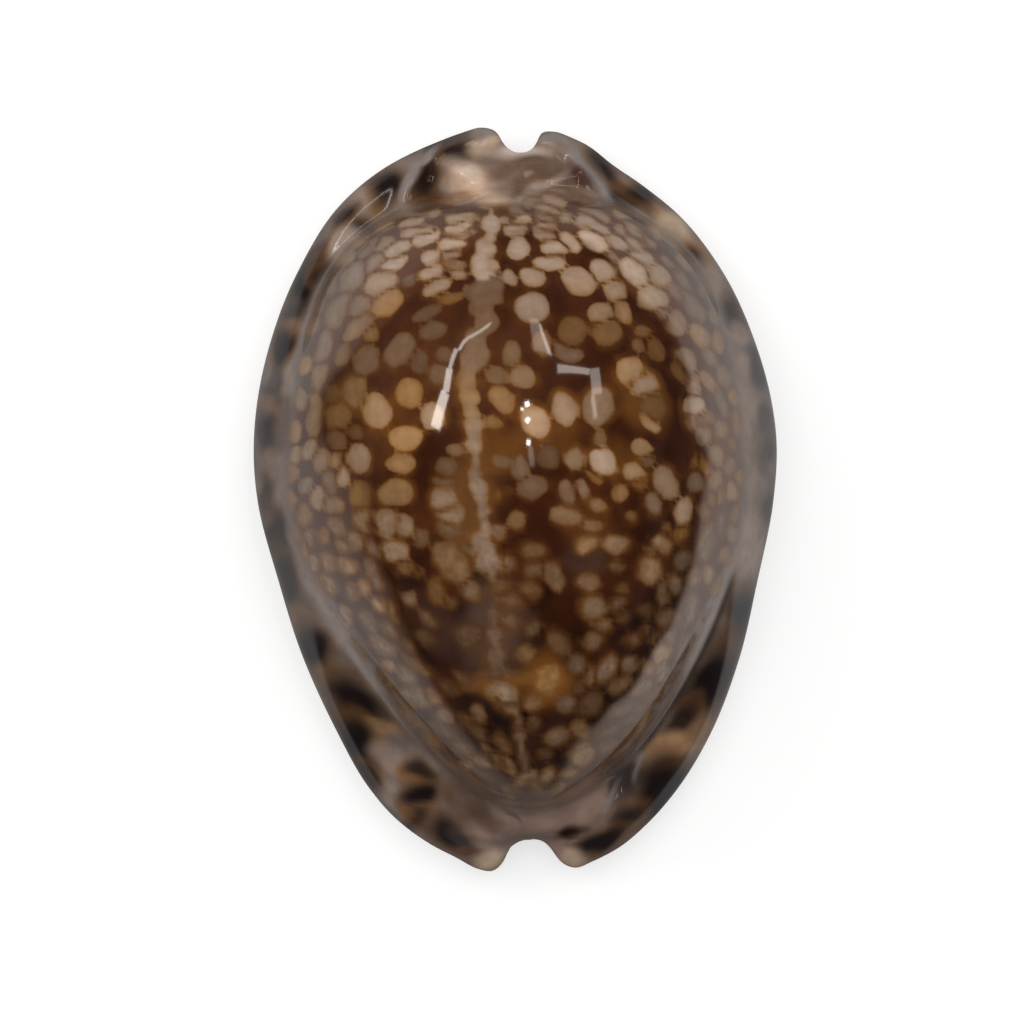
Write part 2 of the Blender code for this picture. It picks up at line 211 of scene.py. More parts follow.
# hollow
CAVITY_HALF_WIDTH = 13.6
CAVITY_REAR = 21.5
CAVITY_FRONT = -24.0
ROOF_THICKNESS = 2.5
CAVITY_FLOOR = 5.0
CANAL_FLOOR = 2.9
CANAL_ROOF = 3.7
CANAL_UNDERCUT = 0.7
CAVITY_ROUNDNESS = 0.7
CAVITY_TAPER = 0.16
CAVITY_TAPER_RAMP = (-3.0, 18.0)
CAVITY_CENTRE_X = 0.3
CAVITY_SPAN = 168.0
CANAL_SPAN_CUT = 0.3
LIP_JOIN = 0.14

# camera straight overhead; the outline of the shell lies a little above the floor
CAMERA_HEIGHT = 500.0
CAMERA_X = -0.25
CAMERA_Y = -1.08
OUTLINE_LEVEL = 5.0

# tones of the enamel, linear red, green and blue
CHOCOLATE = (0.034, 0.0080, 0.0025)
RUSSET = (0.088, 0.0240, 0.0070)
AMBER = (0.160, 0.0600, 0.0120)
BLACK_BROWN = (0.010, 0.0055, 0.0050)
DARK_GREY = (0.050, 0.0380, 0.0350)
CALLUS = (0.150, 0.1120, 0.0960)
PALE_CALLUS = (0.360, 0.2700, 0.2150)
TAN = (0.240, 0.1450, 0.0780)
BROWN = (0.110, 0.0600, 0.0350)
NOTCH_PALE = (0.600, 0.4900, 0.4100)
# painted highlight on the ridges of the ends
RIDGE_HIGHLIGHT = (0.230, 0.1950, 0.1800)
# the three flank nets below lie past the line where the enamel mirrors the card: partly the flanks' own
# colour, partly painted light and reflection
FLANK_NET = (0.086, 0.0380, 0.0230)
UPPER_FLANK_NET = (0.098, 0.0350, 0.0130)
RIGHT_FLANK_NET = (0.150, 0.0620, 0.0300)
VEILED_NET = (0.080, 0.0290, 0.0120)
# pale foot of the dome, these two: partly its own paler enamel, partly painted reflection and highlight
CREASE_PALE = (0.180, 0.1380, 0.1180)
FOOT_PALE = (0.400, 0.3200, 0.2800)
# painted shade in the crease at the foot of the dome
CREASE_SHADE = (0.030, 0.0220, 0.0200)
VEIL = (0.095, 0.0510, 0.0330)
BLOTCH_RIM = (0.150, 0.0720, 0.0280)
RIM_TINT = (0.80, 0.62, 0.38)
GOLD = (0.230, 0.1000, 0.0280)
GOLDEN_TAN = (0.360, 0.2100, 0.1050)
ORANGE = (0.240, 0.0850, 0.0180)
ROSE = (0.370, 0.2550, 0.2050)
CREAM = (0.620, 0.4350, 0.3100)
LOBE_CREAM = (0.500, 0.3700, 0.2600)
ROOF_TAN = (0.225, 0.1450, 0.1050)
ROOF_ROSE = (0.285, 0.1850, 0.1450)
FAWN = (0.480, 0.3550, 0.2450)
TOOTH_BROWN = (0.115, 0.0520, 0.0260)
LILAC = (0.440, 0.3750, 0.3600)
SPOT_COOL = (0.370, 0.2720, 0.2080)
SPOT_WARM = (0.390, 0.2000, 0.0620)
SPOT_DIM = (0.085, 0.0380, 0.0150)

# pale spots of the back: x, y, half length, half width, turn in degrees, paleness, warmth
SPOTS = (
    (2.75, -15.1, 1.25, 1.1, 80, 0.78, 0.95),
    (0.9, -23.2, 0.9, 0.35, 25, 0.95, 0.4),
    (2.7, -23.1, 0.6, 0.42, 60, 0.9, 0.4),
    (1.8, -24.0, 0.75, 0.32, -40, 0.8, 0.4),
    (-0.5, -22.4, 0.75, 0.3, -60, 0.75, 0.5),
    (-1.6, -21.7, 0.7, 0.28, -50, 0.6, 0.5),
    (-2.4, -20.7, 0.6, 0.25, -45, 0.55, 0.5),
    (-3.3, -19.3, 0.8, 0.35, -60, 0.45, 0.5),
    (3.4, -19.8, 0.9, 0.6, 20, 0.6, 0.4),
    (-0.45, -14.95, 1.9, 0.24, 6, 0.7, 1.0),
    (3.25, 24.8, 0.95, 0.38, -10, 1, 0.5),
    (1.2, 24.75, 0.6, 0.3, 15, 0.7, 0.5),
    (2.75, 24.1, 0.95, 0.3, -15, 0.8, 0.8),
    (3.85, 25.5, 0.9, 0.25, -10, 0.5, 0.3),
    (5.6, 25.9, 0.6, 0.25, -20, 0.4, 0.5),
    (0.75, 23.3, 0.72, 0.32, 5, 1, 0.4),
    (-0.85, 23.25, 0.3, 0.25, 0, 0.7, 0.5),
    (2.5, 23.4, 0.7, 0.22, -10, 0.6, 0.3),
    (2.6, 22.85, 0.85, 0.3, -15, 0.8, 0.4),
    (0.1, 22.35, 0.85, 0.4, 5, 1, 0.4),
    (2.4, 22.1, 0.9, 0.45, -10, 0.95, 0.4),
    (6.6, 23.7, 1.25, 0.32, -12, 0.75, 0.3),
    (6.3, 22.85, 1.5, 0.5, -22, 0.9, 0.3),
    (6.6, 21.6, 1.4, 0.8, -35, 1.3, 0.3),
    (4.65, 21.45, 1, 0.52, -40, 1.15, 0.4),
    (3.25, 20.9, 1.05, 0.52, -15, 1.05, 0.4),
    (0.25, 20.85, 0.75, 0.85, 10, 0.95, 0.5),
    (2.85, 19.65, 1.2, 0.62, -5, 1, 0.4),
    (8.6, 21.4, 0.9, 0.5, -28, 0.95, 0.5),
    (9.95, 21.3, 0.9, 0.4, -35, 0.8, 0.6),
    (10.1, 22.2, 1.1, 0.4, -38, 0.65, 0.5),
    (8.8, 22.3, 0.6, 0.3, -30, 0.7, 0.4),
    (11.1, 21.6, 0.9, 0.3, -40, 0.5, 0.5),
    (10.6, 20.1, 1.05, 0.5, -35, 0.9, 0.4),
    (12.05, 18.7, 1.1, 0.65, -48, 0.85, 0.6),
    (9.9, 18.9, 1.35, 0.78, -40, 1.1, 0.4),
    (7.4, 18.95, 1.15, 0.75, -33, 1, 0.5),
    (5.3, 18.15, 1.35, 1.1, -35, 0.9, 0.6),
    (1.5, 18.5, 0.95, 0.75, -10, 0.9, 0.5),
    (-0.55, 18.45, 0.55, 0.45, -30, 0.8, 0.5),
    (8, 20.2, 0.5, 0.25, -40, 0.6, 0.3),
    (1.45, 15.95, 1.4, 1.2, 0, 0.78, 0.1),
    (4.8, 14, 1.15, 1.2, -30, 0.35, 0.9),
    (7.2, 15.4, 1, 0.9, -40, 0.8, 0.4),
    (7.6, 14, 1.2, 1.1, -50, 0.45, 0.9),
    (8.3, 17.3, 1.1, 0.9, -60, 0.85, 0.4),
    (9, 15.7, 0.95, 0.65, -55, 0.75, 0.7),
    (11.4, 16.7, 1.3, 1, -28, 1, 0.3),
    (13.45, 14.7, 1.05, 0.75, -55, 0.7, 0.4),
    (14.8, 16.1, 1.5, 0.6, -55, 0.45, 0.4),
    (15.4, 13.5, 1.15, 0.55, -60, 0.8, 0.8),
    (10.7, 13.8, 0.75, 0.5, -40, 0.5, 0.9),
    (10.35, 12.8, 0.65, 0.45, -70, 0.5, 0.7),
    (11.6, 12.6, 1.1, 0.6, -60, 0.35, 1),
    (14.25, 11.6, 1.05, 0.78, -55, 0.65, 0.2),
    (16.2, 12, 0.9, 0.4, -65, 0.5, 0.5),
    (9.7, 10.5, 1.3, 1.1, -50, 1, 0.6),
    (10.7, 9.5, 1.2, 1.1, -50, 0.95, 0.3),
    (13.7, 10.7, 0.9, 0.5, -65, 0.4, 1),
    (4.4, 12.2, 1.3, 0.65, -20, 0.4, 0.3),
    (2.3, 12.9, 1.1, 0.7, -80, 0.45, 0.8),
    (-0.3, 12.2, 0.7, 0.95, 0, 0.45, 0.5),
    (0.55, 10.1, 1, 0.9, 0, 0.65, 0.5),
    (12.4, 15.4, 0.8, 0.4, -50, 0.6, 0.3),
    (13.3, 17.2, 0.9, 0.4, -50, 0.5, 0.5),
    (12.9, 19.6, 0.9, 0.3, -48, 0.4, 0.4),
    (14, 18.2, 1, 0.3, -52, 0.4, 0.3),
    (-8.46, 23.07, 1.25, 0.4, 20, 1, 0.3),
    (-7.2, 23.7, 1, 0.28, 14, 0.8, 0.4),
    (-4.43, 23.4, 1.25, 0.3, 3, 0.95, 0.4),
    (-4.6, 22.6, 1.15, 0.38, 12, 1.2, 0.4),
    (-8.1, 22.3, 1.35, 0.42, 15, 0.95, 0.4),
    (-4.3, 22.1, 1, 0.22, 8, 0.6, 0.5),
    (-7.4, 21.8, 1.15, 0.52, 25, 1.15, 0.4),
    (-5.3, 21.2, 1.1, 0.47, 12, 1.15, 0.4),
    (-10.9, 21.2, 0.95, 0.38, 30, 0.65, 0.4),
    (-9.95, 20.8, 1.25, 0.47, 22, 1, 0.4),
    (-10.15, 19.6, 1.25, 0.52, 25, 1.1, 0.5),
    (-11.7, 19.6, 1, 0.4, 45, 0.6, 0.4),
    (-6.95, 20.15, 0.85, 0.45, 10, 0.95, 0.5),
    (-5.4, 20.25, 0.9, 0.35, 15, 0.7, 0.4),
    (-11.3, 17.85, 1.5, 0.78, 28, 0.85, 0.4),
    (-13.5, 18.4, 1.6, 0.7, 50, 0.55, 0.4),
    (-6.9, 18.95, 1.25, 0.48, 22, 0.95, 0.5),
    (-5.2, 19.5, 0.8, 0.4, 10, 0.7, 0.5),
    (-4.7, 18.7, 0.55, 0.38, 0, 0.75, 0.7),
    (-6.55, 17.6, 1.25, 0.52, 22, 0.85, 0.4),
    (-5.4, 16.7, 1.1, 0.25, 15, 0.5, 1),
    (-10.7, 16.25, 1.5, 0.85, 40, 0.85, 0.8),
    (-12.9, 16.25, 1.1, 0.6, 45, 0.55, 0.4),
    (-14.8, 15.6, 1.8, 0.7, 62, 0.5, 0.4),
    (-13.1, 14.3, 1.5, 0.62, 40, 0.55, 0.6),
    (-9.55, 12.4, 1.55, 1.05, 65, 0.42, 0.4),
    (-12.35, 11.6, 1.3, 0.9, 60, 0.42, 0.4),
    (-8, 11.55, 0.95, 0.75, 60, 0.28, 0.4),
    (-6.8, 14, 1.15, 0.6, 25, 0.33, 0.3),
    (-7.3, 15.5, 1.3, 0.5, 28, 0.3, 0.4),
    (-5.9, 12.1, 0.68, 0.62, 0, 0.3, 0.5),
    (-6.35, 10.4, 0.8, 0.75, 0, 0.38, 0.5),
    (-14.4, 11.9, 0.95, 0.5, 60, 0.35, 0.6),
    (-15.9, 12.9, 1.6, 0.5, 72, 0.5, 0.4),
    (-16.3, 10.1, 1.3, 0.5, 78, 0.5, 0.6),
    (-9.1, 23.9, 1, 0.25, 25, 0.5, 0.3),
    (-12.2, 20.9, 1, 0.3, 42, 0.45, 0.3),
    (-8.8, 8.8, 1.1, 1.2, 0, 0.8, 0.9),
    (-13.3, 9, 1.3, 0.85, 75, 0.55, 0.8),
    (-11.5, 7.3, 1.4, 1.08, 100, 0.95, 0.6),
    (-6.85, 6.9, 1.05, 0.85, 100, 1, 0.4),
    (-9.1, 5.1, 1.35, 0.9, 15, 1, 0.8),
    (-9.45, 3, 1.15, 0.78, 0, 0.8, 0.8),
    (-13.05, 3.4, 1.3, 0.92, 90, 0.8, 0.4),
    (-14.7, 6.9, 1.2, 1, 90, 0.5, 1),
    (-15.1, 8.6, 0.8, 0.5, 80, 0.35, 1),
    (-14.9, 5, 0.9, 0.6, 100, 0.4, 0.8),
    (-13.2, 5.5, 0.6, 0.6, 0, 0.3, 1),
    (-16.7, 7.2, 2.2, 0.5, 86, 0.5, 0.6),
    (-16.1, 3.2, 1, 0.5, 80, 0.5, 0.4),
    (-15.5, 1.4, 1, 0.42, -75, 0.35, 0.4),
    (-9.95, 0.5, 1.35, 1.1, 0, 0.68, 0.8),
    (-10.75, -2, 1.15, 0.9, 100, 0.75, 0.4),
    (-9.2, -2.1, 0.8, 0.6, 100, 0.78, 0.4),
    (-12.95, 0.2, 1.2, 0.8, 95, 0.4, 0.9),
    (-12.7, -1.7, 1, 0.85, 100, 0.5, 0.5),
    (-15.1, -0.6, 0.75, 0.65, 0, 0.45, 0.6),
    (-14.9, -2.5, 0.95, 0.6, -60, 0.4, 0.6),
    (-14.5, -3.8, 0.7, 0.45, -65, 0.45, 0.6),
    (-5.9, -0.1, 1.06, 0.97, -26, 0.69, 0.3),
    (-5.3, -1.4, 1.06, 0.84, 12, 0.69, 0.3),
    (-5.4, -2.6, 1.29, 0.74, -26, 0.4, 0.5),
    (-4.9, 4.1, 0.65, 0.45, 0, 0.5, 0.5),
    (-1.1, 8.3, 1.25, 0.8, -50, 0.72, 0.8),
    (-1.6, 10.3, 0.75, 0.75, 0, 0.45, 0.6),
    (-1.8, 6.3, 0.65, 0.55, 0, 0.6, 0.9),
    (-1.05, 3.1, 0.75, 0.5, -20, 0.45, 0.5),
    (-5.7, 2.7, 0.83, 0.88, 14, 0.32, 0.4),
    (-5.9, 1.5, 0.78, 0.57, -16, 0.4, 0.4),
    (-1, 0.5, 0.65, 0.4, 0, 0.5, 0.9),
    (-9.95, -4.35, 1.15, 0.85, 0, 0.85, 0.4),
    (-9.1, -5.7, 0.9, 0.45, -10, 0.4, 1),
    (-5.3, -5.2, 1.9, 1.15, -52, 0.5, 0.7),
    (-1.4, -2.7, 0.55, 0.5, 0, 0.55, 0.5),
    (-11.8, -2.4, 0.7, 0.3, -50, 0.4, 0.8),
    (-2.2, -5.3, 1.05, 0.85, 0, 0.6, 0.2),
    (-0.5, -5.4, 0.65, 0.32, 60, 0.45, 0.6),
    (-4.2, -3.9, 0.9, 0.4, -40, 0.35, 0.6),
    (-14, -5.5, 0.85, 0.5, -30, 0.6, 0.6),
    (-11.8, -6.3, 1.4, 0.5, -65, 0.35, 0.3),
    (-6.6, -7.6, 1.05, 0.62, 90, 0.42, 0.9),
    (-8, -6.2, 0.4, 0.32, 0, 0.3, 0.8),
    (-7.3, -10, 0.95, 0.38, -40, 0.33, 0.5),
    (-5.4, -8.6, 0.65, 0.5, 0, 0.25, 0.8),
    (-3.8, -11.4, 1.15, 0.95, 0, 0.2, 0.2),
    (-0.5, -8.5, 1, 0.6, -10, 0.3, 0.7),
    (-1.2, -7.2, 0.75, 0.5, 0, 0.35, 0.8),
    (-11.1, -12.2, 1.2, 0.6, -45, 0.4, 0.4),
    (-13.6, -7.8, 0.75, 0.45, -70, 0.35, 0.5),
    (-9, -14.8, 1, 0.55, -42, 0.4, 0.4),
    (-10.7, -15.2, 1.2, 0.55, -45, 0.35, 0.5),
    (-8.5, -16.5, 1.35, 0.7, -32, 0.42, 0.4),
    (-8.2, -13.7, 1.5, 0.35, -42, 0.35, 0.8),
    (-4.3, -14.9, 0.75, 0.32, -40, 0.35, 0.5),
    (-5.6, -15.8, 0.9, 0.5, -30, 0.22, 0.9),
    (-1.1, -16.05, 1.25, 0.6, -4, 0.85, 0.35),
    (-1.2, -14.7, 1.9, 0.38, 3, 0.4, 0.4),
    (-10, -9.5, 0.95, 0.3, -72, 0.28, 0.9),
    (-10.6, -10.9, 0.9, 0.4, -58, 0.28, 0.4),
    (-7.5, -11.5, 0.85, 0.5, -42, 0.2, 0.6),
    (-12.1, -10.4, 1.1, 0.5, -58, 0.28, 0.4),
    (-8.8, -12.5, 0.7, 0.35, -55, 0.3, 0.6),
    (-13, -12.4, 1.2, 0.35, -52, 0.3, 0.4),
    (4.1, 7.5, 1.35, 0.98, -75, 0.88, 0.4),
    (1.7, 6.4, 1.45, 1.05, -65, 1.1, 0.5),
    (6.9, 7.7, 1.6, 1.2, 80, 0.65, 0.4),
    (11.3, 6.3, 0.95, 0.45, -40, 1, 0.5),
    (11.4, 7.8, 1.3, 1.1, -60, 0.4, 1),
    (14.9, 7.7, 0.8, 0.75, 0, 1.1, 0.1),
    (14.7, 6.5, 0.65, 0.4, 90, 0.6, 0.5),
    (16.1, 9.8, 0.85, 0.5, -55, 0.65, 0.7),
    (15.9, 6.7, 0.6, 0.4, 70, 0.5, 0.8),
    (17.1, 5.8, 0.75, 0.5, -75, 0.5, 0.7),
    (17.3, 8, 1.3, 0.35, -78, 0.35, 0.4),
    (7.3, 3.1, 1.2, 0.92, -40, 1.15, 0.2),
    (7.1, 5.1, 0.65, 0.42, 90, 0.5, 0.7),
    (5, 3.3, 0.78, 0.62, 90, 0.7, 0.4),
    (10.6, 4.2, 0.85, 0.6, -50, 0.9, 0.6),
    (11.15, 3.2, 0.5, 0.4, -50, 0.45, 0.5),
    (9.95, 2.2, 0.92, 0.7, -45, 0.92, 0.5),
    (10.3, 1.3, 0.5, 0.4, 0, 0.6, 1),
    (12.6, 1.3, 1.3, 0.85, -70, 0.75, 0.4),
    (11.55, -0.35, 0.92, 0.6, -65, 0.62, 0.3),
    (14.05, -1, 1.1, 0.6, 80, 1.1, 0.3),
    (13.7, -2.9, 0.8, 0.4, 50, 0.6, 1),
    (15.6, 3, 1, 0.3, -65, 0.65, 1),
    (15, 3.4, 0.65, 0.25, 80, 0.55, 1),
    (16.75, 1.65, 0.85, 0.42, 75, 0.65, 0.6),
    (17.1, 0.2, 0.55, 0.22, 80, 0.55, 0.9),
    (16.3, 0.1, 0.5, 0.22, 85, 0.5, 0.8),
    (6.95, -0.5, 0.58, 0.45, 0, 0.7, 0.6),
    (5.65, 0.75, 0.78, 0.4, -70, 0.58, 0.4),
    (4.35, 0.6, 1.05, 0.58, -75, 0.48, 0.4),
    (1.45, 1, 1.15, 0.9, 0, 0.38, 0.4),
    (4.2, -1.4, 1.2, 0.8, -20, 0.55, 0.6),
    (6.5, -2.15, 0.75, 0.4, -10, 0.58, 0.6),
    (9.65, -1.5, 0.45, 0.35, 0, 0.45, 0.7),
    (6.05, -3.8, 0.85, 0.52, 20, 0.68, 0.7),
    (8.35, -3.8, 1.1, 0.62, 10, 0.65, 0.5),
    (12.2, -3.8, 0.8, 0.62, -60, 0.82, 0.5),
    (11.4, -4.3, 0.6, 0.4, 0, 0.45, 0.6),
    (1.5, -4.3, 1, 0.65, 0, 0.32, 0.7),
    (0.35, 2.6, 1.1, 0.62, 90, 0.42, 0.3),
    (2.85, 3.5, 0.95, 0.95, 0, 0.22, 0.5),
    (6.6, 1.85, 0.6, 0.22, -45, 0.6, 0.9),
    (12.5, -2.5, 0.35, 0.3, 0, 0.4, 0.9),
    (16, -3.4, 1.6, 0.5, 78, 0.42, 0.4),
    (17.2, -2, 1, 0.3, 80, 0.3, 0.4),
    (-0.7, 0.6, 0.5, 0.4, 0, 0.45, 0.9),
    (3.3, -6.45, 1.15, 0.68, -70, 0.38, 0.6),
    (1.35, -7.6, 0.85, 0.6, -30, 0.28, 0.9),
    (11.3, -5.9, 1.2, 0.82, 90, 0.8, 0.6),
    (6.2, -7, 1, 0.66, -10, 0.48, 0.6),
    (6.6, -9.1, 1.2, 0.9, -80, 0.58, 0.4),
    (7.1, -10.3, 0.7, 0.45, -10, 0.6, 0.3),
    (8.65, -8.6, 0.65, 0.38, 60, 0.38, 0.4),
    (8.95, -7.5, 0.5, 0.4, 0, 0.38, 0.8),
    (8.4, -5.6, 0.55, 0.4, 0, 0.32, 0.6),
    (12.3, -7.9, 1, 0.38, 88, 0.45, 0.5),
    (13.4, -7.1, 0.85, 0.48, -80, 0.55, 0.4),
    (12.7, -9.9, 1, 0.68, 65, 0.48, 0.5),
    (10.8, -9.3, 0.55, 0.5, 0, 0.15, 0.9),
    (9, -9.8, 0.65, 0.6, 0, 0.12, 0.9),
    (1.35, -10.8, 0.65, 0.48, 70, 0.28, 0.2),
    (3.6, -12, 1.25, 0.85, -50, 0.22, 0.7),
    (10, -11.7, 0.65, 0.28, 35, 0.48, 0.6),
    (10.85, -11.05, 0.6, 0.2, 45, 0.38, 0.6),
    (11.7, -11.4, 0.5, 0.22, 80, 0.38, 0.6),
    (12.2, -12.95, 0.9, 0.48, 65, 0.9, 0.4),
    (11, -14.1, 0.75, 0.42, 100, 0.72, 0.7),
    (7.65, -14.2, 1.15, 0.52, 60, 0.68, 0.3),
    (6.2, -14.8, 0.7, 0.32, 75, 0.58, 0.5),
    (8.8, -15.5, 1, 0.5, 25, 0.48, 0.6),
    (6.3, -17.1, 1, 0.85, 30, 0.22, 0.8),
    (5.4, -15.6, 0.55, 0.42, 0, 0.28, 0.6),
    (14.2, -12.4, 1.2, 0.5, 60, 0.5, 0.4),
    (14.7, -9.3, 1.4, 0.5, 75, 0.45, 0.4),
    (13.4, -15.2, 1.1, 0.5, 58, 0.48, 0.6),
    (11.8, -16.3, 1, 0.5, 35, 0.48, 0.6),
    (-3.1, -17.85, 0.62, 0.48, -45, 0.6, 0.4),
    (-4.1, -18.5, 0.75, 0.5, -50, 0.33, 0.9),
    (-1, -20.5, 1.1, 0.45, -55, 0.33, 0.8),
    (1.6, -18.8, 0.65, 0.4, 60, 0.22, 0.5),
    (2.5, -21.15, 0.55, 0.38, 0, 0.2, 0.8),
    (5.6, -21.3, 1, 0.82, 30, 0.65, 0.6),
    (-0.7, -17, 1, 0.5, -10, 0.38, 0.7),
    (7.8, -20.7, 0.8, 0.42, 15, 0.4, 0.8),
    (8.8, -17.6, 1.2, 0.5, 30, 0.28, 0.4),
    (7.8, -19.3, 1, 0.35, 30, 0.25, 0.5),
    (9.7, -19.4, 0.8, 0.45, 45, 0.35, 0.6),
    (-4.4, -20.9, 0.95, 0.5, -32, 0.28, 0.5),
    (5.6, -23.7, 1.1, 0.38, 22, 0.28, 0.5),
    (5, -24.8, 0.9, 0.28, 20, 0.3, 0.9),
    (1.9, -25.2, 1, 0.25, 5, 0.3, 1),
    (10.3, -17.9, 1.2, 0.5, 48, 0.4, 0.5),
    (-6.1, -19.2, 1.1, 0.4, -38, 0.25, 0.4),
    (-2.6, -23, 1.1, 0.35, -28, 0.25, 0.4),
    (11.4, -18.2, 0.8, 0.3, 45, 0.35, 0.6),
)

# spots that fill the open parts: half width, net between them, clearance, how far back and out they go
FILLER_SEED = 21
FILLER_WIDE = 0.44
FILLER_WIDER = 0.20
FILLER_SWING = (0.85, 1.25)
FILLER_ROOM = (1.5, 0.4)
FILLER_STRETCH = (1.05, 1.4)
FILLER_FLANK_STRETCH = 0.5
FILLER_STRIP = 0.22
FILLER_DOME_STRIP = 0.55
FILLER_CLEAR = 0.40
FILLER_REAR = 3.0
FILLER_SPREAD = 0.97
FILLER_PALENESS = (0.25, 0.65)
FILLER_FLANK_PALENESS = (0.05, 0.2)
FILLER_TURN = 20.0
FILLER_WARMTH = (0.2, 0.8)
SHELL_HALF_WIDTH = 21.7
SHELL_HALF_LENGTH = 31.0

# strip of net kept between spots, how much larger a spot is than its core, how its edge wanders
NET_STRIP = 0.10
SPOT_GROWTH = 0.13
SPOT_WANDER = 0.14
SPOT_WAVES = 2.2
SPOT_SEEDS = (12, 13)
NO_SPOT = 9.0

# paleness added along the flanks past the line where the enamel mirrors the card, partly painted
# reflection there, and behind; a ramp is where it starts and how long it runs
FLANK_PALENESS = 0.25
FLANK_PALENESS_LOSS = 0.8
FLANK_PALENESS_RAMP = (8.0, 8.0)
REAR_PALENESS = 0.12
REAR_RAMP = (16.0, 4.0)
REAR_COOLING = 0.85
PALENESS_POWER = 1.4

# amber halos round the spots: loss behind and past the card line
HALO_REAR_LOSS = 0.6
HALO_REAR_RAMP = (11.0, 5.0)
HALO_FLANK_LOSS = 0.7

# softer markings in front
BLUR_RAMP = (4.0, 12.0)

# line on the dome, as seen from above, outside which the enamel mirrors the pale surroundings
CARD_LINE = (
    (15.7, 2.2), (15.9, 3.5), (15.4, 5.2), (14.7, 5.8), (14.4, 7), (14.5, 9), (14.2, 10.8),
    (13.5, 12.9), (12.4, 14.6), (10.6, 16.1), (9.3, 17.6), (8.4, 19.3), (7.2, 20.7), (5.2, 21.6),
    (3, 22.1), (1, 22.4), (-0.8, 22.2), (-2.8, 21.4), (-4.4, 20.4), (-5.8, 19.2), (-7.4, 17.9),
    (-8.9, 16.6), (-10.4, 15), (-12, 13.4), (-13.1, 12), (-14.7, 10.5), (-15.9, 8.6), (-16.2, 7),
    (-15.9, 4.8), (-14.2, 3), (-12.7, 1.4), (-12.1, -0.8), (-11.9, -3.2), (-11.4, -5.2), (-10.3, -7.4),
    (-9.8, -9.3), (-9, -11), (-8.1, -13), (-7.2, -14.6), (-6.4, -16.1), (-5.3, -17.8), (-3.8, -19.9),
    (-2, -22), (0.3, -23.7), (2.2, -24.4), (3.7, -23.8), (4.4, -22.2), (5.3, -20), (6.6, -19.1),
    (8.1, -17.2), (10.1, -15.6), (11.5, -12.6), (12.9, -10.7), (13.7, -8.6), (14.6, -6), (15, -3.5),
    (15.4, -0.4),
)

# rear edge of the net and its spots, as seen from above
REAR_EDGE_X = (-12.0, -9.0, -2.0, 1.5, 4.5, 7.0, 9.0, 12.0)
REAR_EDGE_Y = (26.5, 24.6, 24.4, 24.4, 26.2, 25.6, 24.8, 26.5)
REAR_EDGE_SOFT = 0.7
DOME_EDGE_RAMP = (0.95, 0.12)

# how the fine mesh is evened out along the foot of the dome
CREASE_SHARE = 0.6
CREASE_SPREAD = 1.03
CREASE_WIDTH = 0.09
CREASE_PASSES = 8

# wandering of a number over the shell: how many waves, their sizes, what their sum is divided by
RIPPLE_COUNT = 7
RIPPLE_SIZES = (0.7, 2.2)
RIPPLE_LEVEL = 3.7

# uneven shares: mean, swing, seed, size
RUSSET_WAVES = (0.1, 0.4, 6, 6.0)
CALLUS_WAVES = (0.15, 0.4, 8, 4.0)
CARD_LINE_WAVES = (0.6, 0.5, 16, 3.0)
BASE_WAVES = (0.35, 0.4, 15, 7.0)

# net of the back, and how it changes to the front, on the flanks and along the foot of the dome
VEILED_AREA = (-5.0, 11.0, 9.0, 5.5)
VEILED_SHARE = 0.8
FRONT_NET_RAMP = (-4.0, 6.0)
FRONT_NET_LOSS = 0.68
# the dark strip along that line is a painted dark edge of the card's reflection: its width, then the
# line's softness, the strip's strength and how much spots fade under it
CARD_LINE_WIDTH = 0.35
CARD_LINE_SOFT = 0.8
REFLECTION_EDGE_SHARE = 0.8
CARD_LINE_SPOT_LOSS = 0.6
UPPER_FLANK_RAMP = (6.0, 10.0)
RIGHT_FLANK_SHARE = 0.8
RIGHT_FLANK_ACROSS = (0.0, 8.0)
RIGHT_FLANK_FRONT = (12.0, 6.0)
# pale foot of the dome below: partly its own paler enamel, partly painted reflection and highlight
FOOT_START = 0.88
FOOT_FRONT_SHIFT = 0.07
FOOT_FRONT_RAMP = (-5.0, 6.0)
FOOT_SOFT = 0.12
FOOT_TIP_RAMP = (-14.0, 7.0)
FOOT_TIP_BROWN = 0.75
FOOT_PALE_RAMP = (-2.0, 8.0)
FOOT_PALE_LEFT = 0.55
FOOT_PALE_RIGHT = 0.45
FOOT_PALE_ACROSS = (0.0, 6.0)
FOOT_PALE_TIP_LOSS = 0.85
FOOT_PALE_SOFT = 0.10
FOOT_SPOT_SHIFT = 0.04
FOOT_SPOT_SOFT = 0.14
# painted shade in the crease at the foot of the dome, on the right towards the front: where and how wide,
# its strength, and its ramps across, to the front and at the tip
CREASE_SHADE_SPREAD = 1.05
CREASE_SHADE_WIDTH = 0.035
CREASE_SHADE_SHARE = 0.8
CREASE_SHADE_ACROSS = (0.0, 6.0)
CREASE_SHADE_FRONT = (-4.0, 5.0)
CREASE_SHADE_TIP = (-23.0, 3.0)

# patches: how their edges wander, and how far past the oval they and their golden rims reach
PATCH_WANDER = 0.35
PATCH_WAVES = 3.2
PATCH_SEEDS = (3, 4)
PATCH_RAMP = (1.65, 1.15)
BLOTCH_RIM_RAMP = (2.0, 0.8)
BLOTCH_RIM_STRENGTH = 0.6

# pale mantle line: share of the half width between its points, wandering of its edge
RIBBON_SHARE = 0.6
MANTLE_WANDER = 0.18
MANTLE_WAVES = 1.3
MANTLE_SEED = 17

# spotted patch behind the dome, right of the spire
SPIRE_PATCH = (3.0, 25.0, 2.6, 1.3)
SPIRE_STRENGTH = 2.0

# underside: reach of the brown of the teeth and of the back's colours
TOOTH_TINT = 0.85
TOOTH_TINT_RAMP = (1.5, 3.2)
TOOTH_TINT_END = 1.0
TOOTH_TINT_END_RUN = 2.0
BASE_RAMP = (0.8, 4.5)

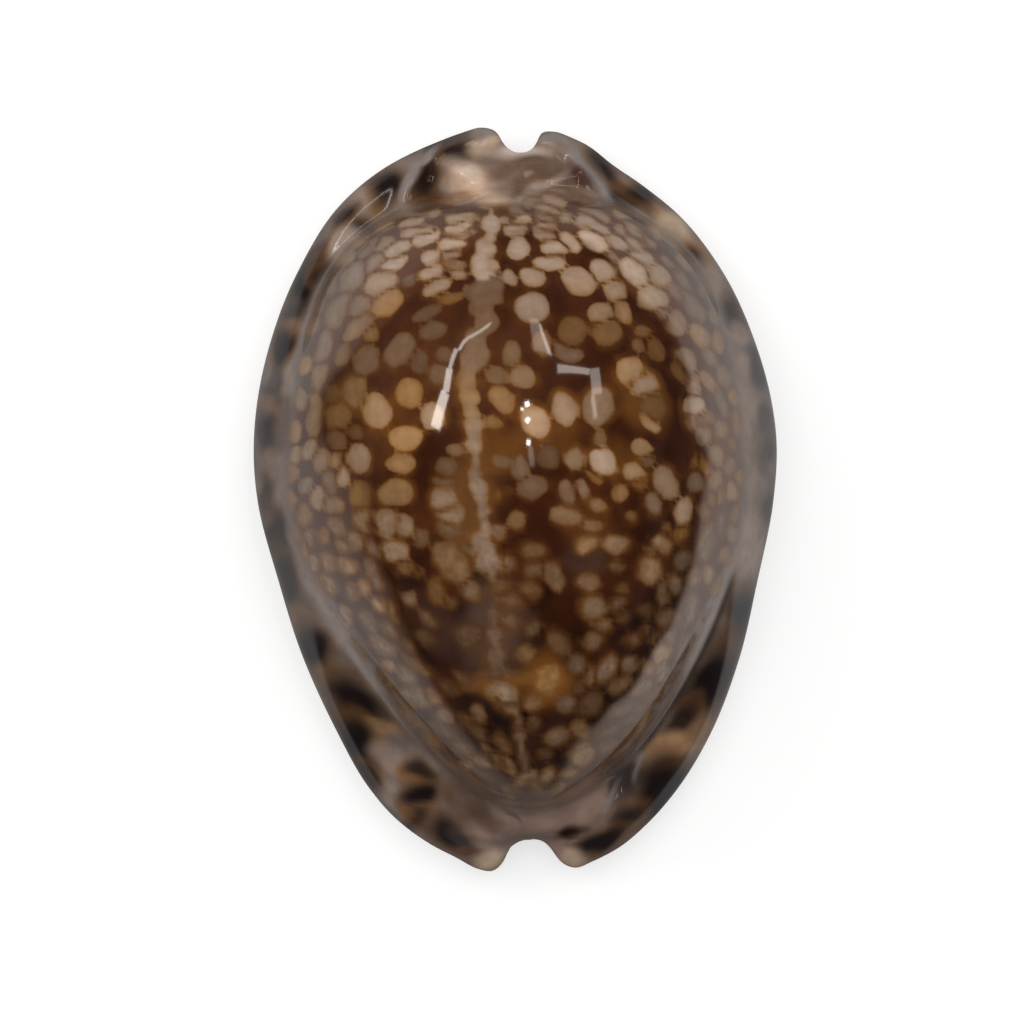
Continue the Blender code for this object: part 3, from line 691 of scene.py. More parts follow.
# pale line where the two sides of the mantle met: x, y, half width, paleness, warmth
MANTLE_LINE = (
    (-1.9, 24, 0.25, 0.7, 0.5),
    (-2, 22.9, 0.75, 1, 0.3),
    (-2.1, 21.9, 0.5, 0.95, 0.4),
    (-2.5, 20.8, 0.85, 0.95, 0.4),
    (-2.7, 19.6, 1.1, 0.95, 0.4),
    (-2.5, 18.6, 0.9, 0.95, 0.1),
    (-2.4, 17.3, 1.6, 0.32, 0.4),
    (-2.7, 15.8, 1.2, 0.35, 0.4),
    (-2.4, 14.8, 1.1, 0.4, 0.4),
    (-3.3, 13.4, 1, 0.45, 0.4),
    (-3.3, 12, 1.15, 0.5, 0.4),
    (-3.6, 11, 0.9, 0.6, 0.5),
    (-4, 9.8, 1.05, 0.68, 0.7),
    (-3.8, 8.4, 1, 0.75, 0.7),
    (-3.6, 7.2, 0.85, 0.75, 0.6),
    (-3.55, 6.2, 0.85, 0.8, 0.4),
    (-3.4, 5.4, 0.6, 0.75, 0.4),
    (-3.4, 4.5, 0.8, 0.8, 0.3),
    (-3.3, 3.2, 0.45, 0.6, 0.4),
    (-3.4, 2, 0.6, 0.55, 0.3),
    (-3.15, 1, 0.85, 0.8, 0.15),
    (-2.9, 0.1, 0.6, 0.75, 0.2),
    (-2.6, -1.2, 0.55, 0.68, 0.2),
    (-2.4, -2.4, 0.7, 0.7, 0.2),
    (-2.9, -3.4, 0.85, 0.75, 0.3),
    (-2.3, -4.3, 0.8, 0.75, 0.2),
    (-2.1, -5.3, 1.1, 0.8, 0.2),
    (-1.9, -6.4, 0.5, 0.5, 0.3),
    (-2.0, -7.6, 0.3, 0.34, 0.3),
    (-1.9, -9.4, 0.45, 0.42, 0.15),
    (-1.7, -11.3, 0.8, 0.4, 0.15),
    (-1.6, -13, 1.1, 0.32, 0.15),
    (-1.6, -14.2, 0.9, 0.26, 0.3),
    (-1.5, -15.9, 0.9, 0.8, 0.35),
    (-0.7, -16.4, 0.9, 0.85, 0.25),
    (-0.1, -17.4, 0.6, 0.5, 0.4),
    (0.3, -18.6, 0.35, 0.4, 0.3),
    (0.45, -19.8, 0.55, 0.5, 0.2),
    (0.7, -21.5, 0.5, 0.5, 0.2),
    (0.8, -22.8, 0.4, 0.55, 0.4),
    (1.5, -23.7, 0.3, 0.6, 0.5),
)

# soft patches of the net: x, y, half length, half width, turn, tone, strength
BACK_PATCHES = (
    (2.7, -15.1, 2.2, 1.9, 90, ORANGE, 0.8),
    (-0.5, -15.1, 2.6, 0.5, 8, GOLD, 0.9),
    (-1.6, -15.9, 2.2, 0.8, -20, ORANGE, 0.7),
    (4.0, -9.5, 2.8, 1.6, 20, CHOCOLATE, 0.9),
    (8.5, -12.5, 2.5, 1.6, 40, CHOCOLATE, 0.8),
    (4.5, -18.3, 2.2, 1.2, 20, CHOCOLATE, 0.9),
    (-6.0, -12.0, 2.6, 1.2, 100, CHOCOLATE, 0.9),
    (-7.3, 3.0, 3.0, 0.9, 85, CHOCOLATE, 1.0),
    (1.8, -1.2, 1.6, 0.9, -40, CHOCOLATE, 0.9),
    (3.0, -3.2, 2.4, 0.8, -65, CHOCOLATE, 0.9),
    (-1.9, -11.0, 3.6, 2.6, 90, VEIL, 0.9),
    (-6.6, -10.5, 2.6, 1.4, 110, VEIL, 0.35),
    (6.0, -5.0, 2.0, 1.2, 30, VEIL, 0.4),
    (6.5, -2.6, 2.2, 1.4, 20, AMBER, 0.35),
    (10.6, 8.3, 2.6, 1.6, -50, AMBER, 0.7),
    (-1.2, 4.0, 2.0, 1.6, 0, AMBER, 0.6),
    (2.6, 5.2, 2.6, 1.8, 20, AMBER, 0.5),
    (-3.6, 0.2, 3.2, 2.0, 80, GOLD, 0.45),
    (-4.6, -4.6, 2.4, 1.4, 60, GOLD, 0.3),
    (-10.4, 6.0, 3.2, 1.6, 80, AMBER, 0.4),
    (9.0, 3.4, 2.2, 1.4, -40, AMBER, 0.5),
    (-14.0, 8.5, 2.0, 1.3, 70, AMBER, 0.6),
    (0.8, -24.2, 2.4, 0.8, 5, TAN, 0.8),
    (0.6, -25.2, 2.6, 0.5, 3, PALE_CALLUS, 0.6),
)

# blotches of the margins
MARGIN_PATCHES = (
    # outer lip side, spire end to front
    (-12.8, 25.3, 1.3, 0.9, 30, PALE_CALLUS, 0.8),
    (-11.8, 25.9, 0.7, 0.4, 60, GOLD, 0.7),
    (-11.4, 24.6, 0.7, 0.5, 60, GOLD, 0.6),
    (-10.5, 25.9, 1.46, 1.12, 20, BLACK_BROWN, 0.99),
    (-14.1, 23.6, 1.23, 0.62, 50, BLACK_BROWN, 0.88),
    (-12.5, 22.7, 1.57, 0.75, 20, BLACK_BROWN, 1.0),
    (-15.4, 22.1, 0.9, 0.3, 50, BROWN, 0.8),
    (-14.5, 21.2, 1.6, 1.1, 45, PALE_CALLUS, 0.85),
    (-14.8, 19.6, 1.2, 0.8, 60, PALE_CALLUS, 0.5),
    (-16.6, 20.2, 1.46, 0.5, 62, BLACK_BROWN, 0.88),
    (-17.4, 17.8, 2.13, 1.12, 62, BLACK_BROWN, 1.0),
    (-16.3, 18.7, 0.78, 0.62, 30, BLACK_BROWN, 0.77),
    (-18.6, 15.6, 1.34, 0.75, 65, DARK_GREY, 0.99),
    (-18.5, 14.0, 0.9, 0.6, 65, TAN, 0.6),
    (-19.3, 12.5, 1.46, 0.81, 70, BLACK_BROWN, 1.0),
    (-20.3, 9.6, 1.57, 0.88, 75, DARK_GREY, 0.88),
    (-20.6, 7.8, 0.8, 0.7, 90, TAN, 0.5),
    (-20.7, 5.2, 1.57, 0.88, 95, DARK_GREY, 1.0),
    (-20.5, 3.2, 0.9, 0.6, 90, TAN, 0.5),
    (-20.7, 0.4, 1.4, 0.7, 92, BLACK_BROWN, 0.85),
    (-19.7, -3.4, 2.3, 1.0, 103, BLACK_BROWN, 0.95),
    (-19.0, -6.9, 2.3, 0.9, 107, BLACK_BROWN, 0.9),
    (-17.9, -3.6, 2.2, 0.7, 100, PALE_CALLUS, 0.15),
    (-18.0, -9.9, 1.0, 0.7, 110, TAN, 0.6),
    (-16.9, -12.4, 1.9, 1.25, 112, BLACK_BROWN, 1.0),
    (-16.0, -15.2, 1.2, 0.7, 118, TAN, 0.4),
    (-13.2, -17.1, 2.58, 1.88, 140, BLACK_BROWN, 1.0),
    (-11.2, -19.1, 1.6, 0.5, 170, TAN, 0.8),
    (-13.2, -20.4, 2.13, 1.38, 120, BLACK_BROWN, 1.0),
    (-10.3, -21.6, 1.7, 0.9, 150, PALE_CALLUS, 0.45),
    (-8.8, -23.1, 1.2, 0.7, 130, GOLD, 0.7),
    (-7.8, -22.6, 1.12, 0.75, 150, BLACK_BROWN, 0.88),
    (-12.3, -23.1, 1.46, 0.62, 125, BLACK_BROWN, 0.77),
    (-10.4, -24.6, 1.3, 0.9, 130, PALE_CALLUS, 0.4),
    (-7.8, -24.7, 1.34, 0.94, 20, BLACK_BROWN, 1.0),
    (-5.3, -24.6, 0.8, 0.5, 90, BROWN, 0.7),
    (-8.0, -26.8, 1.01, 0.75, 20, BLACK_BROWN, 0.88),
    (-9.0, -26.2, 0.8, 0.5, 130, GOLD, 0.6),
    (-6.8, -27.2, 0.6, 0.9, 0, PALE_CALLUS, 0.4),
    (-5.3, -27.8, 1.68, 1.25, 150, BLACK_BROWN, 1.0),
    # inner lip side, spire end to front
    (19.0, -1.5, 5.0, 1.1, 88, PALE_CALLUS, 0.55),
    (19.4, -4.2, 2.4, 1.0, 80, PALE_CALLUS, 0.6),
    (17.0, 14.2, 1.8, 1.0, -60, PALE_CALLUS, 0.75),
    (14.6, 18.0, 1.8, 0.9, -50, PALE_CALLUS, 0.4),
    (9.4, 25.0, 1.57, 0.88, -20, BLACK_BROWN, 1.0),
    (10.7, 25.3, 1.34, 0.75, -30, BLACK_BROWN, 0.88),
    (11.5, 23.7, 0.9, 0.6, -30, BROWN, 0.9),
    (12.3, 24.1, 0.6, 0.4, -50, GOLD, 0.6),
    (12.9, 22.6, 1.5, 1.2, -45, FAWN, 0.8),
    (15.1, 20.4, 1.4, 1.0, -50, GOLD, 0.85),
    (14.9, 20.2, 1.0, 0.75, -40, CHOCOLATE, 1.0),
    (16.3, 18.4, 1.6, 1.0, -55, PALE_CALLUS, 0.6),
    (18.0, 15.6, 1.46, 0.88, -60, BLACK_BROWN, 0.88),
    (18.9, 13.8, 1.0, 0.6, -70, PALE_CALLUS, 0.5),
    (20.3, 11.0, 1.6, 0.8, -75, DARK_GREY, 0.95),
    (20.9, 6.7, 1.5, 0.6, 90, DARK_GREY, 0.8),
    (21.0, 3.4, 1.4, 0.5, 90, DARK_GREY, 0.6),
    (21.2, -0.8, 1.34, 0.62, 85, DARK_GREY, 0.77),
    (19.8, -5.0, 2.2, 0.9, 75, PALE_CALLUS, 0.4),
    (19.1, -10.0, 2.13, 1.12, 75, BLACK_BROWN, 1.0),
    (16.3, -15.3, 3.02, 1.62, 65, BLACK_BROWN, 1.0),
    (13.6, -18.5, 1.79, 0.75, 50, BLACK_BROWN, 0.88),
    (13.2, -20.4, 2.4, 1.0, 15, GOLDEN_TAN, 0.9),
    (15.4, -18.9, 1.1, 0.8, 60, TAN, 0.8),
    (12.8, -22.2, 1.4, 0.5, 20, BROWN, 0.9),
    (12.0, -24.5, 2.8, 2.0, 50, BLACK_BROWN, 1.0),
    # painted shade in the hollow of the front right flange
    (9.2, -23.4, 1.34, 1.0, 60, DARK_GREY, 0.88),
    (8.9, -27.0, 1.9, 0.88, 40, BLACK_BROWN, 0.99),
    (7.2, -28.5, 2.02, 0.75, 25, BLACK_BROWN, 0.99),
    (10.0, -27.3, 1.0, 0.4, 40, BROWN, 0.8),
    (18.9, 5.5, 5.0, 0.8, 92, PALE_CALLUS, 0.6),
)

# the two canals with their lobes, and the spire
END_PATCHES = (
    # spire end: canal roof, notch edge, left hollow, spire, ridges, right hollow, fold; the dark patches
    # in the left and right hollow are painted shade, the grey on the ridges is painted highlight
    (0.0, 26.8, 5.6, 2.6, 0, ROOF_TAN, 0.95),
    (3.0, 27.2, 2.4, 1.2, -30, BROWN, 0.8),
    (0.6, 26.0, 1.8, 0.9, 10, BROWN, 0.6),
    (-0.4, 27.6, 1.3, 0.5, 0, BROWN, 0.6),
    # these two: painted shade in the left hollow and between the left ridge and the spire
    (-7.2, 26.6, 2.2, 1.1, 72, BLACK_BROWN, 0.95),
    (-5.2, 28.6, 1.6, 0.7, 30, BLACK_BROWN, 0.9),
    (-2.2, 29.6, 1.4, 0.7, 35, FAWN, 0.7),
    (0.5, 28.7, 1.9, 0.5, 0, NOTCH_PALE, 0.8),
    (-3.7, 26.5, 2.4, 1.15, -24, CREAM, 1.0),
    # painted shade in the left hollow again, over the spire's cream
    (-7.4, 26.8, 2.0, 0.8, 72, BLACK_BROWN, 0.9),
    (-4.0, 27.2, 1.2, 0.6, -20, NOTCH_PALE, 0.6),
    (-2.6, 25.3, 1.6, 0.6, 2, CREAM, 0.8),
    (-5.6, 24.9, 2.2, 0.4, 6, GOLD, 0.8),
    (-1.6, 24.6, 1.5, 0.25, 0, GOLD, 0.6),
    (-5.6, 29.9, 2.2, 0.6, 18, DARK_GREY, 0.8),
    (-2.4, 30.7, 1.1, 0.5, 10, RIDGE_HIGHLIGHT, 0.9),
    (2.9, 30.2, 1.1, 0.6, -10, RIDGE_HIGHLIGHT, 0.9),
    (-8.7, 26.6, 2.3, 0.35, 76, RIDGE_HIGHLIGHT, 0.9),
    (-7.2, 28.8, 1.0, 0.35, 35, RIDGE_HIGHLIGHT, 0.9),
    (5.4, 28.2, 2.0, 0.35, -52, RIDGE_HIGHLIGHT, 0.9),
    (7.6, 25.3, 2.0, 0.35, -52, RIDGE_HIGHLIGHT, 0.9),
    # painted shade in the right hollow
    (7.4, 27.6, 1.5, 0.6, -48, BLACK_BROWN, 0.9),
    (5.6, 26.7, 1.2, 0.5, -45, CHOCOLATE, 0.8),
    (4.5, 24.7, 2.0, 0.7, -25, CHOCOLATE, 0.95),
    (1.7, 25.9, 2.6, 0.38, 28, PALE_CALLUS, 0.9),
    # front end: canal roof, its brown veins, right flange, lobes; the dark grey in the flange's hollow and
    # the black-brown in the hollow under the tongue are painted shade, the grey on the flange's ridges is
    # painted highlight
    (2.0, -26.6, 5.4, 1.5, 8, ROOF_ROSE, 0.95),
    (6.0, -24.6, 2.2, 1.4, 50, ROOF_ROSE, 0.9),
    (-4.6, -24.6, 3.0, 0.7, -40, BROWN, 0.5),
    (-3.0, -26.3, 1.9, 0.7, -30, BROWN, 0.8),
    (-0.4, -26.1, 0.9, 0.25, -50, CHOCOLATE, 0.6),
    (-2.6, -25.2, 1.0, 0.25, -20, CHOCOLATE, 0.5),
    (1.4, -25.9, 2.0, 0.3, 0, PALE_CALLUS, 0.5),
    # painted shade in the flange's hollow
    (8.9, -23.6, 1.6, 0.7, 70, DARK_GREY, 0.95),
    (10.2, -21.8, 1.6, 0.25, 80, RIDGE_HIGHLIGHT, 0.8),
    (8.0, -25.0, 1.6, 0.25, 60, RIDGE_HIGHLIGHT, 0.8),
    (-4.4, -28.4, 1.0, 0.5, -20, DARK_GREY, 0.8),
    (-3.9, -29.3, 1.1, 0.4, 10, BROWN, 0.9),
    (-2.2, -30.2, 1.2, 0.9, 10, LOBE_CREAM, 0.85),
    (4.6, -29.9, 1.6, 0.8, -25, LOBE_CREAM, 0.85),
    (3.4, -28.8, 0.7, 0.5, -50, ROOF_ROSE, 0.9),
    # painted shade in the hollow under the tongue
    (4.6, -27.8, 0.9, 0.3, 10, BLACK_BROWN, 0.9),
)

# enamel: index of refraction, roughness on the dome and what the margins add
ENAMEL_IOR = 1.5
ENAMEL_ROUGHNESS = 0.06
MARGIN_ROUGHNESS = 0.10

# enamel shader: noises as size in millimetres and detail, spans as from low, high, to low, high;
# what ends in FRONT is added in front
MOTTLE_NOISE = (1.6, 3.0)
MOTTLE_SPAN = (0.3, 0.7, 0.88, 1.12)
WOBBLE_NOISE = (1.0, 3.0)
WOBBLE = 0.30
WOBBLE_FRONT = 0.30
HALO_NOISE = (2.8, 2.0)
HALO_SPAN = (0.40, 0.62, 0.12, 1.0)
HALO_WIDTH = 0.70
HALO_SHARE = 0.85
RIM = 0.13
RIM_FRONT = 0.16
CORE = 0.28
CORE_FRONT = 0.14
CLOUD_NOISE = (0.9, 3.0)
CLOUD_SPAN = (0.25, 0.75, -0.5, 0.5)
CLOUD_SWING = 0.22
CLOUD_SWING_FRONT = 0.30
SPOT_DEPTH_SPAN = (-0.05, -0.75, 0.84, 1.03)

# white card that the gloss sees on the floor: nearest and farthest edge, softness, dim room beyond it,
# and the flattest mirrored ray that is followed down to the floor
CARD_NEAR = 27.0
CARD_FAR = 150.0
CARD_FADE = 3.0
GREY_ROOM = 0.06
FLATTEST_RAY = 0.05

# brightness of the card: mean, more on the right, behind and on both sides, less at the corners;
# shading beside the shell, and a veil that softens it towards its edge
CARD_LEVEL = 0.48
CARD_RIGHT = 0.06
CARD_REAR = 0.02
CARD_SIDES = 0.15
CARD_CORNERS = 0.10
CARD_SHADE = 0.45
CARD_SHADE_RUN = 14.0
CARD_VEIL = 0.50
CARD_VEIL_SIDE = 0.32

# how the point that the camera shows is found: steps, and the width over which the slope is taken
SEEN_STEPS = 4
SLOPE_STEP = 0.05

# floor: rings of points and their radii, tone under the lamps, light added for the camera
FLOOR_RINGS = (12.0, 20.0)
FLOOR_FINE = (22.0, 170.0)
FLOOR_STEPS = 120
FLOOR_FAR = (300.0, 800.0, 3000.0)
FLOOR_TURNS = 180
FLOOR_DROP = 0.02
FLOOR_TONE = (0.45, 0.45, 0.45)
FLOOR_GLOW = 0.62

# room round the shell: tone at the horizon and overhead, heights between which it changes, backdrop
ROOM_LOW = (0.10, 0.10, 0.105)
ROOM_HIGH = (0.045, 0.045, 0.047)
ROOM_HEIGHTS = (0.02, 0.30)
BACKDROP = (0.86, 0.86, 0.86)

# lamps: distance in metres, tint, softbox in millimetres and metres
LAMP_DISTANCE = 0.9
LAMP_TINT = (1.0, 0.92, 0.85)
SOFTBOX_CENTRE = (-60.0, 150.0, 880.0)
SOFTBOX_ALONG = (1.7, 0.0, 0.0)
SOFTBOX_ACROSS = (0.0, 1.6, -0.25)
SOFTBOX_RADIANCE = 1.45
SOFTBOX_TINT = (1.0, 1.0, 1.0)

# camera: width of the picture at the outline's level, and of the sensor
FRAME_WIDTH = 85.33
SENSOR = 36.0
CLIP_START = 0.01

# lamps seen in the enamel: name, from x y, to x y, half width on the shell in millimetres, radiance
MIRRORED_LAMPS = (
    ("strip_tip", -2.8, 14.5, -4.0, 14.15, 0.16, 7.0),
    ("strip_bend", -4.0, 14.1, -4.5, 13.0, 0.16, 9.0),
    ("strip_upper", -4.75, 13.2, -5.5, 10.8, 0.20, 9.0),
    ("strip_middle", -5.5, 10.8, -5.8, 8.4, 0.32, 11.0),
    ("strip_lower", -5.85, 8.4, -6.5, 5.9, 0.42, 13.0),
    ("pane_left", 1.8, 14.0, 2.0, 11.6, 0.55, 2.6),
    ("pane_left_edge", 2.45, 13.5, 2.5, 11.6, 0.14, 7.0),
    ("pane_top", 2.9, 10.85, 5.9, 10.5, 0.34, 6.5),
    ("pane_right", 6.35, 10.9, 6.7, 8.2, 0.50, 4.5),
    ("pane_tail", 6.25, 8.1, 6.6, 6.5, 0.18, 4.5),
    ("bulb_a", 0.85, 8.25, 1.15, 8.35, 0.22, 45.0),
    ("bulb_b", 0.5, 7.8, 0.7, 7.85, 0.16, 30.0),
    ("bulb_c", 0.9, 6.9, 1.15, 6.6, 0.2, 35.0),
    ("bulb_d", 0.95, 4.7, 1.25, 4.6, 0.2, 40.0),
    ("bulb_tail", 1.25, 4.3, 1.4, 2.8, 0.22, 2.5),
)


def hermite(stations, column, at):
    """Smooth curve through a column of the stations."""
    table = np.array(stations, float)
    x = table[:, 0]
    y = table[:, column]
    slope = np.gradient(y, x)
    at = np.clip(at, x[0], x[-1])
    i = np.clip(np.searchsorted(x, at) - 1, 0, len(x) - 2)
    step = x[i + 1] - x[i]
    u = (at - x[i]) / step
    rise = (2 * u**3 - 3 * u**2 + 1) * y[i] + (3 * u**2 - 2 * u**3) * y[i + 1]
    return rise + step * ((u**3 - 2 * u**2 + u) * slope[i] + (u**3 - u**2) * slope[i + 1])


def smooth_max(a, b, reach):
    """Larger of two heights, with their meeting filled over the reach."""
    h = np.maximum(reach - np.abs(a - b), 0.0) / reach
    return np.maximum(a, b) + h**3 * reach / 6.0


def ease(u):
    """Smooth step from 0 to 1."""
    u = np.clip(u, 0.0, 1.0)
    return u * u * (3.0 - 2.0 * u)


def ramp_up(value, ramp):
    """Smooth step up from 0 at the start of a ramp, which is given as start and run."""
    start, run = ramp
    return ease((value - start) / run)


def ramp_down(value, ramp):
    """Smooth step from 0 at the start of a ramp to 1 at a run below it."""
    start, run = ramp
    return ease((start - value) / run)


def quarter(u):
    """Quarter round: 0 at the edge with an upright start, 1 from u = 1 on."""
    u = np.clip(u, 0.0, 1.0)
    return np.sqrt(np.maximum(1.0 - (1.0 - u) ** 2, 0.0))


def bump(x, y, at_x, at_y, wide, long):
    """Rounded bump of height 1."""
    return np.exp(-(((x - at_x) / wide) ** 2) - ((y - at_y) / long) ** 2)


def line_distance_squared(x, y, points):
    """Squared distance to a line of points."""
    near = np.full(np.shape(x), 1.0e6)
    for start, end in zip(points[:-1], points[1:]):
        _, away_x, away_y = beside_segment(x, y, start, end)
        near = np.minimum(near, away_x**2 + away_y**2)
    return near


def beside_segment(x, y, start, end):
    """Share of the way along a segment, and the offset from the nearest place on it."""
    run_x = end[0] - start[0]
    run_y = end[1] - start[1]
    share = np.clip(((x - start[0]) * run_x + (y - start[1]) * run_y) / (run_x**2 + run_y**2), 0.0, 1.0)
    return share, x - start[0] - share * run_x, y - start[1] - share * run_y


def line_bump(x, y, points, width):
    """Rounded ridge of height 1 along a line of points."""
    return np.exp(-line_distance_squared(x, y, points) / width**2)


def edge_point(angle, side):
    """Outline seen from above at an angle from the front tip, on one side."""
    stations = INNER_LIP_EDGE if side > 0 else OUTER_LIP_EDGE
    front = (0.0, FRONT_NOTCH[0] + side * FRONT_NOTCH[2], FRONT_NOTCH[1])
    rear = (180.0, REAR_NOTCH[0] + side * REAR_NOTCH[2], REAR_NOTCH[1])
    stations = (front,) + stations + (rear,)
    return hermite(stations, 1, angle), hermite(stations, 2, angle)


def notch_share(angle, notch):
    """How much a canal opening acts at an angle from the front tip."""
    away = angle if notch is FRONT_NOTCH else 180.0 - angle
    return np.exp(-((away / NOTCH_SPREAD) ** 2))


def opening(angle, column):
    """Half width or half height that the canals add at an angle from the front tip."""
    front = FRONT_NOTCH[column] * notch_share(angle, FRONT_NOTCH)
    return front + REAR_NOTCH[column] * notch_share(angle, REAR_NOTCH)


def mid_share(y):
    """1 beside the middle of the dome, 0 at the four corners."""
    return np.exp(-(np.abs((y - MARGIN_MIDDLE) / MARGIN_SPAN) ** 3))


def edge_height(angle, y):
    """Height of the widest line."""
    low = MARGIN_LOW
    low = low + (FRONT_NOTCH[3] - low) * notch_share(angle, FRONT_NOTCH)
    low = low + (REAR_NOTCH[3] - low) * notch_share(angle, REAR_NOTCH)
    return low + (MARGIN_HIGH - MARGIN_LOW) * mid_share(y)


def dome_spread(x, y):
    """1 on the foot line of the dome, 0 at its top."""
    away = y - DOME_CENTRE_Y
    half = 0.5 * (DOME_REAR + DOME_FRONT) + 0.5 * (DOME_REAR - DOME_FRONT) * np.tanh(away / DOME_END_BLEND)
    f = away / half
    square = DOME_SQUARENESS[0] + DOME_SQUARENESS[1] * np.tanh(f / DOME_SQUARE_BLEND)
    height_share = np.maximum(1.0 - (x / DOME_HALF_WIDTH) ** 2 - f**2, 0.0)
    shift = DOME_SHIFT * ramp_down(y, DOME_SHIFT_RAMP)
    shift = shift + DOME_LEAN * ramp_down(y, DOME_LEAN_RAMP) * height_share
    across = (x - shift) / DOME_HALF_WIDTH
    return across**2 + f**2 - square * across**2 * f**2


def dome_height(x, y):
    """Height of the dome, falling away past its foot line."""
    spread = dome_spread(x, y)
    inside = np.sqrt(np.maximum(1.0 - (1.0 - DOME_FLATNESS) * spread - DOME_FLATNESS * spread**2, 0.0))
    outside = np.minimum(1.0 - spread, 0.0) * DOME_FALL
    return DOME_FOOT + (TOP_HEIGHT - DOME_FOOT) * inside + outside


def flange_height(y, edge, inward):
    """Upper side of the margin."""
    share = mid_share(y)
    thick = FLANGE_LOW + (FLANGE_HIGH - FLANGE_LOW) * share
    slope = FLANGE_SLOPE_LOW + (FLANGE_SLOPE_HIGH - FLANGE_SLOPE_LOW) * share
    return edge + thick + slope * np.minimum(inward, FLANGE_REACH)


def rear_platform(x, y):
    """Roof of the rear canal."""
    at_x, at_y, wide, long, foot, rise = REAR_ROOF
    across = ((x - at_x) / wide) ** 2
    along = (np.maximum(y - at_y, 0.0) / long) ** 2
    return foot + rise - rise * across - along - REAR_ROOF_DROP * ramp_down(y, REAR_ROOF_FRONT)


def front_platform(x, y):
    """Rounded roof of the front canal."""
    at_x, at_y, wide, long, foot, rise = FRONT_ROOF
    across = ((x - at_x) / wide) ** 2
    along = ((y - at_y) / long) ** 2
    corner = np.minimum(across, 1.0) * np.minimum(along, 1.0)
    spread = across + along - FRONT_ROOF_SQUARENESS * corner
    inside = np.sqrt(np.maximum(1.0 - spread, 0.0))
    return foot + rise * inside + FRONT_ROOF_FALL * np.minimum(1.0 - spread, 0.0)


def surface_details(x, y):
    """Small ridges, hollows and folds of the back."""
    waves = np.sin(x * WAVE_ACROSS + WAVE_SHIFT) * np.sin(y * WAVE_ALONG)
    z = WAVE_HEIGHT * waves * (1.0 - mid_share(y))
    for points, width, height in RIDGES:
        z = z + height * line_bump(x, y, points, width)
    for at_x, at_y, wide, long, height in HOLLOWS:
        z = z + height * bump(x, y, at_x, at_y, wide, long)
    return z


def back_height(x, y, edge, inward):
    """Height of the back seen from above."""
    reach = CREASE_SHARP + (CREASE_SOFT - CREASE_SHARP) * mid_share(y)
    z = smooth_max(dome_height(x, y), flange_height(y, edge, inward), reach)
    z = smooth_max(z, rear_platform(x, y), CANAL_CREASE)
    z = smooth_max(z, front_platform(x, y), CANAL_CREASE)
    return z + surface_details(x, y)


def back_plan(tau, lon):
    """Plan position of the back, how far it is from the edge, and its angle from the front tip."""
    cx = np.sin(tau) * np.sin(lon)
    cy = -np.cos(tau) * np.ones_like(lon)
    cz = np.sin(tau) * np.cos(lon)
    rho = np.sqrt(cx**2 + cy**2)
    angle = np.degrees(np.arctan2(np.abs(cx), -cy))
    side = np.where(cx < 0.0, -1.0, 1.0)
    left_x, left_y = edge_point(angle, -1)
    right_x, right_y = edge_point(angle, 1)
    out_x = np.where(side < 0, left_x, right_x) - side * opening(angle, 2)
    pull = rho**4
    x = SIDE_HALF_WIDTH * cx + pull * (out_x - SIDE_HALF_WIDTH * np.sin(np.radians(angle)) * side)
    end_shift = np.where(cy < 0.0, FRONT_NOTCH[1] + HALF_LENGTH, REAR_NOTCH[1] - HALF_LENGTH) * cy**2
    side_shift = np.where(side < 0, left_y, right_y) + HALF_LENGTH * np.cos(np.radians(angle))
    y = HALF_LENGTH * cy + pull * (end_shift * np.cos(lon) ** 2 + side_shift * np.sin(lon) ** 2)
    x = x + opening(np.degrees(tau), 2) * np.sin(lon)
    radius = np.hypot(SIDE_HALF_WIDTH * np.sin(np.radians(angle)), HALF_LENGTH * np.cos(np.radians(angle)))
    inward = cz**2 / (1.0 + rho) * radius
    return x, y, inward, angle


def back_surface(tau, lon):
    """Back of the shell: rows from front to rear, longitude from the outer lip to the inner lip."""
    x, y, inward, angle = back_plan(tau, lon)
    edge = edge_height(angle, y)
    roll = ROLL_LOW + (ROLL_HIGH - ROLL_LOW) * mid_share(y)
    start = edge + opening(np.degrees(tau), 4) * np.cos(lon)
    top = smooth_max(back_height(x, y, edge, inward), start + EDGE_FILLET, EDGE_FILLET)
    z = start + (top - start) * quarter(inward / roll)
    return np.stack((x, y, z), axis=-1)


def lip_line(tau, side):
    """Edge of one lip along the aperture."""
    y = -LIP_END * np.cos(tau)
    front = ramp_down(y, APERTURE_FRONT_RAMP)
    middle = APERTURE_BULGE * (1.0 - (y / LIP_END) ** 2)
    middle = middle + np.where(y < 0, FRONT_NOTCH[0], REAR_NOTCH[0]) * (y / LIP_END) ** 2
    rear = ramp_up(y, APERTURE_REAR_RAMP)
    half = APERTURE_HALF_WIDTH + APERTURE_FRONT_FLARE * front - APERTURE_REAR_PINCH * rear
    return middle + side * half, y


def groove(y):
    """0 on a tooth, 1 between two teeth, 0 past the last tooth."""
    phase = (y + TOOTH_SPAN) / (2.0 * TOOTH_SPAN) * TEETH
    ends = ease((TOOTH_SPAN - np.abs(y)) / TOOTH_FADE + TOOTH_FADE_START)
    return (0.5 - 0.5 * np.cos(2.0 * math.pi * phase)) * ends


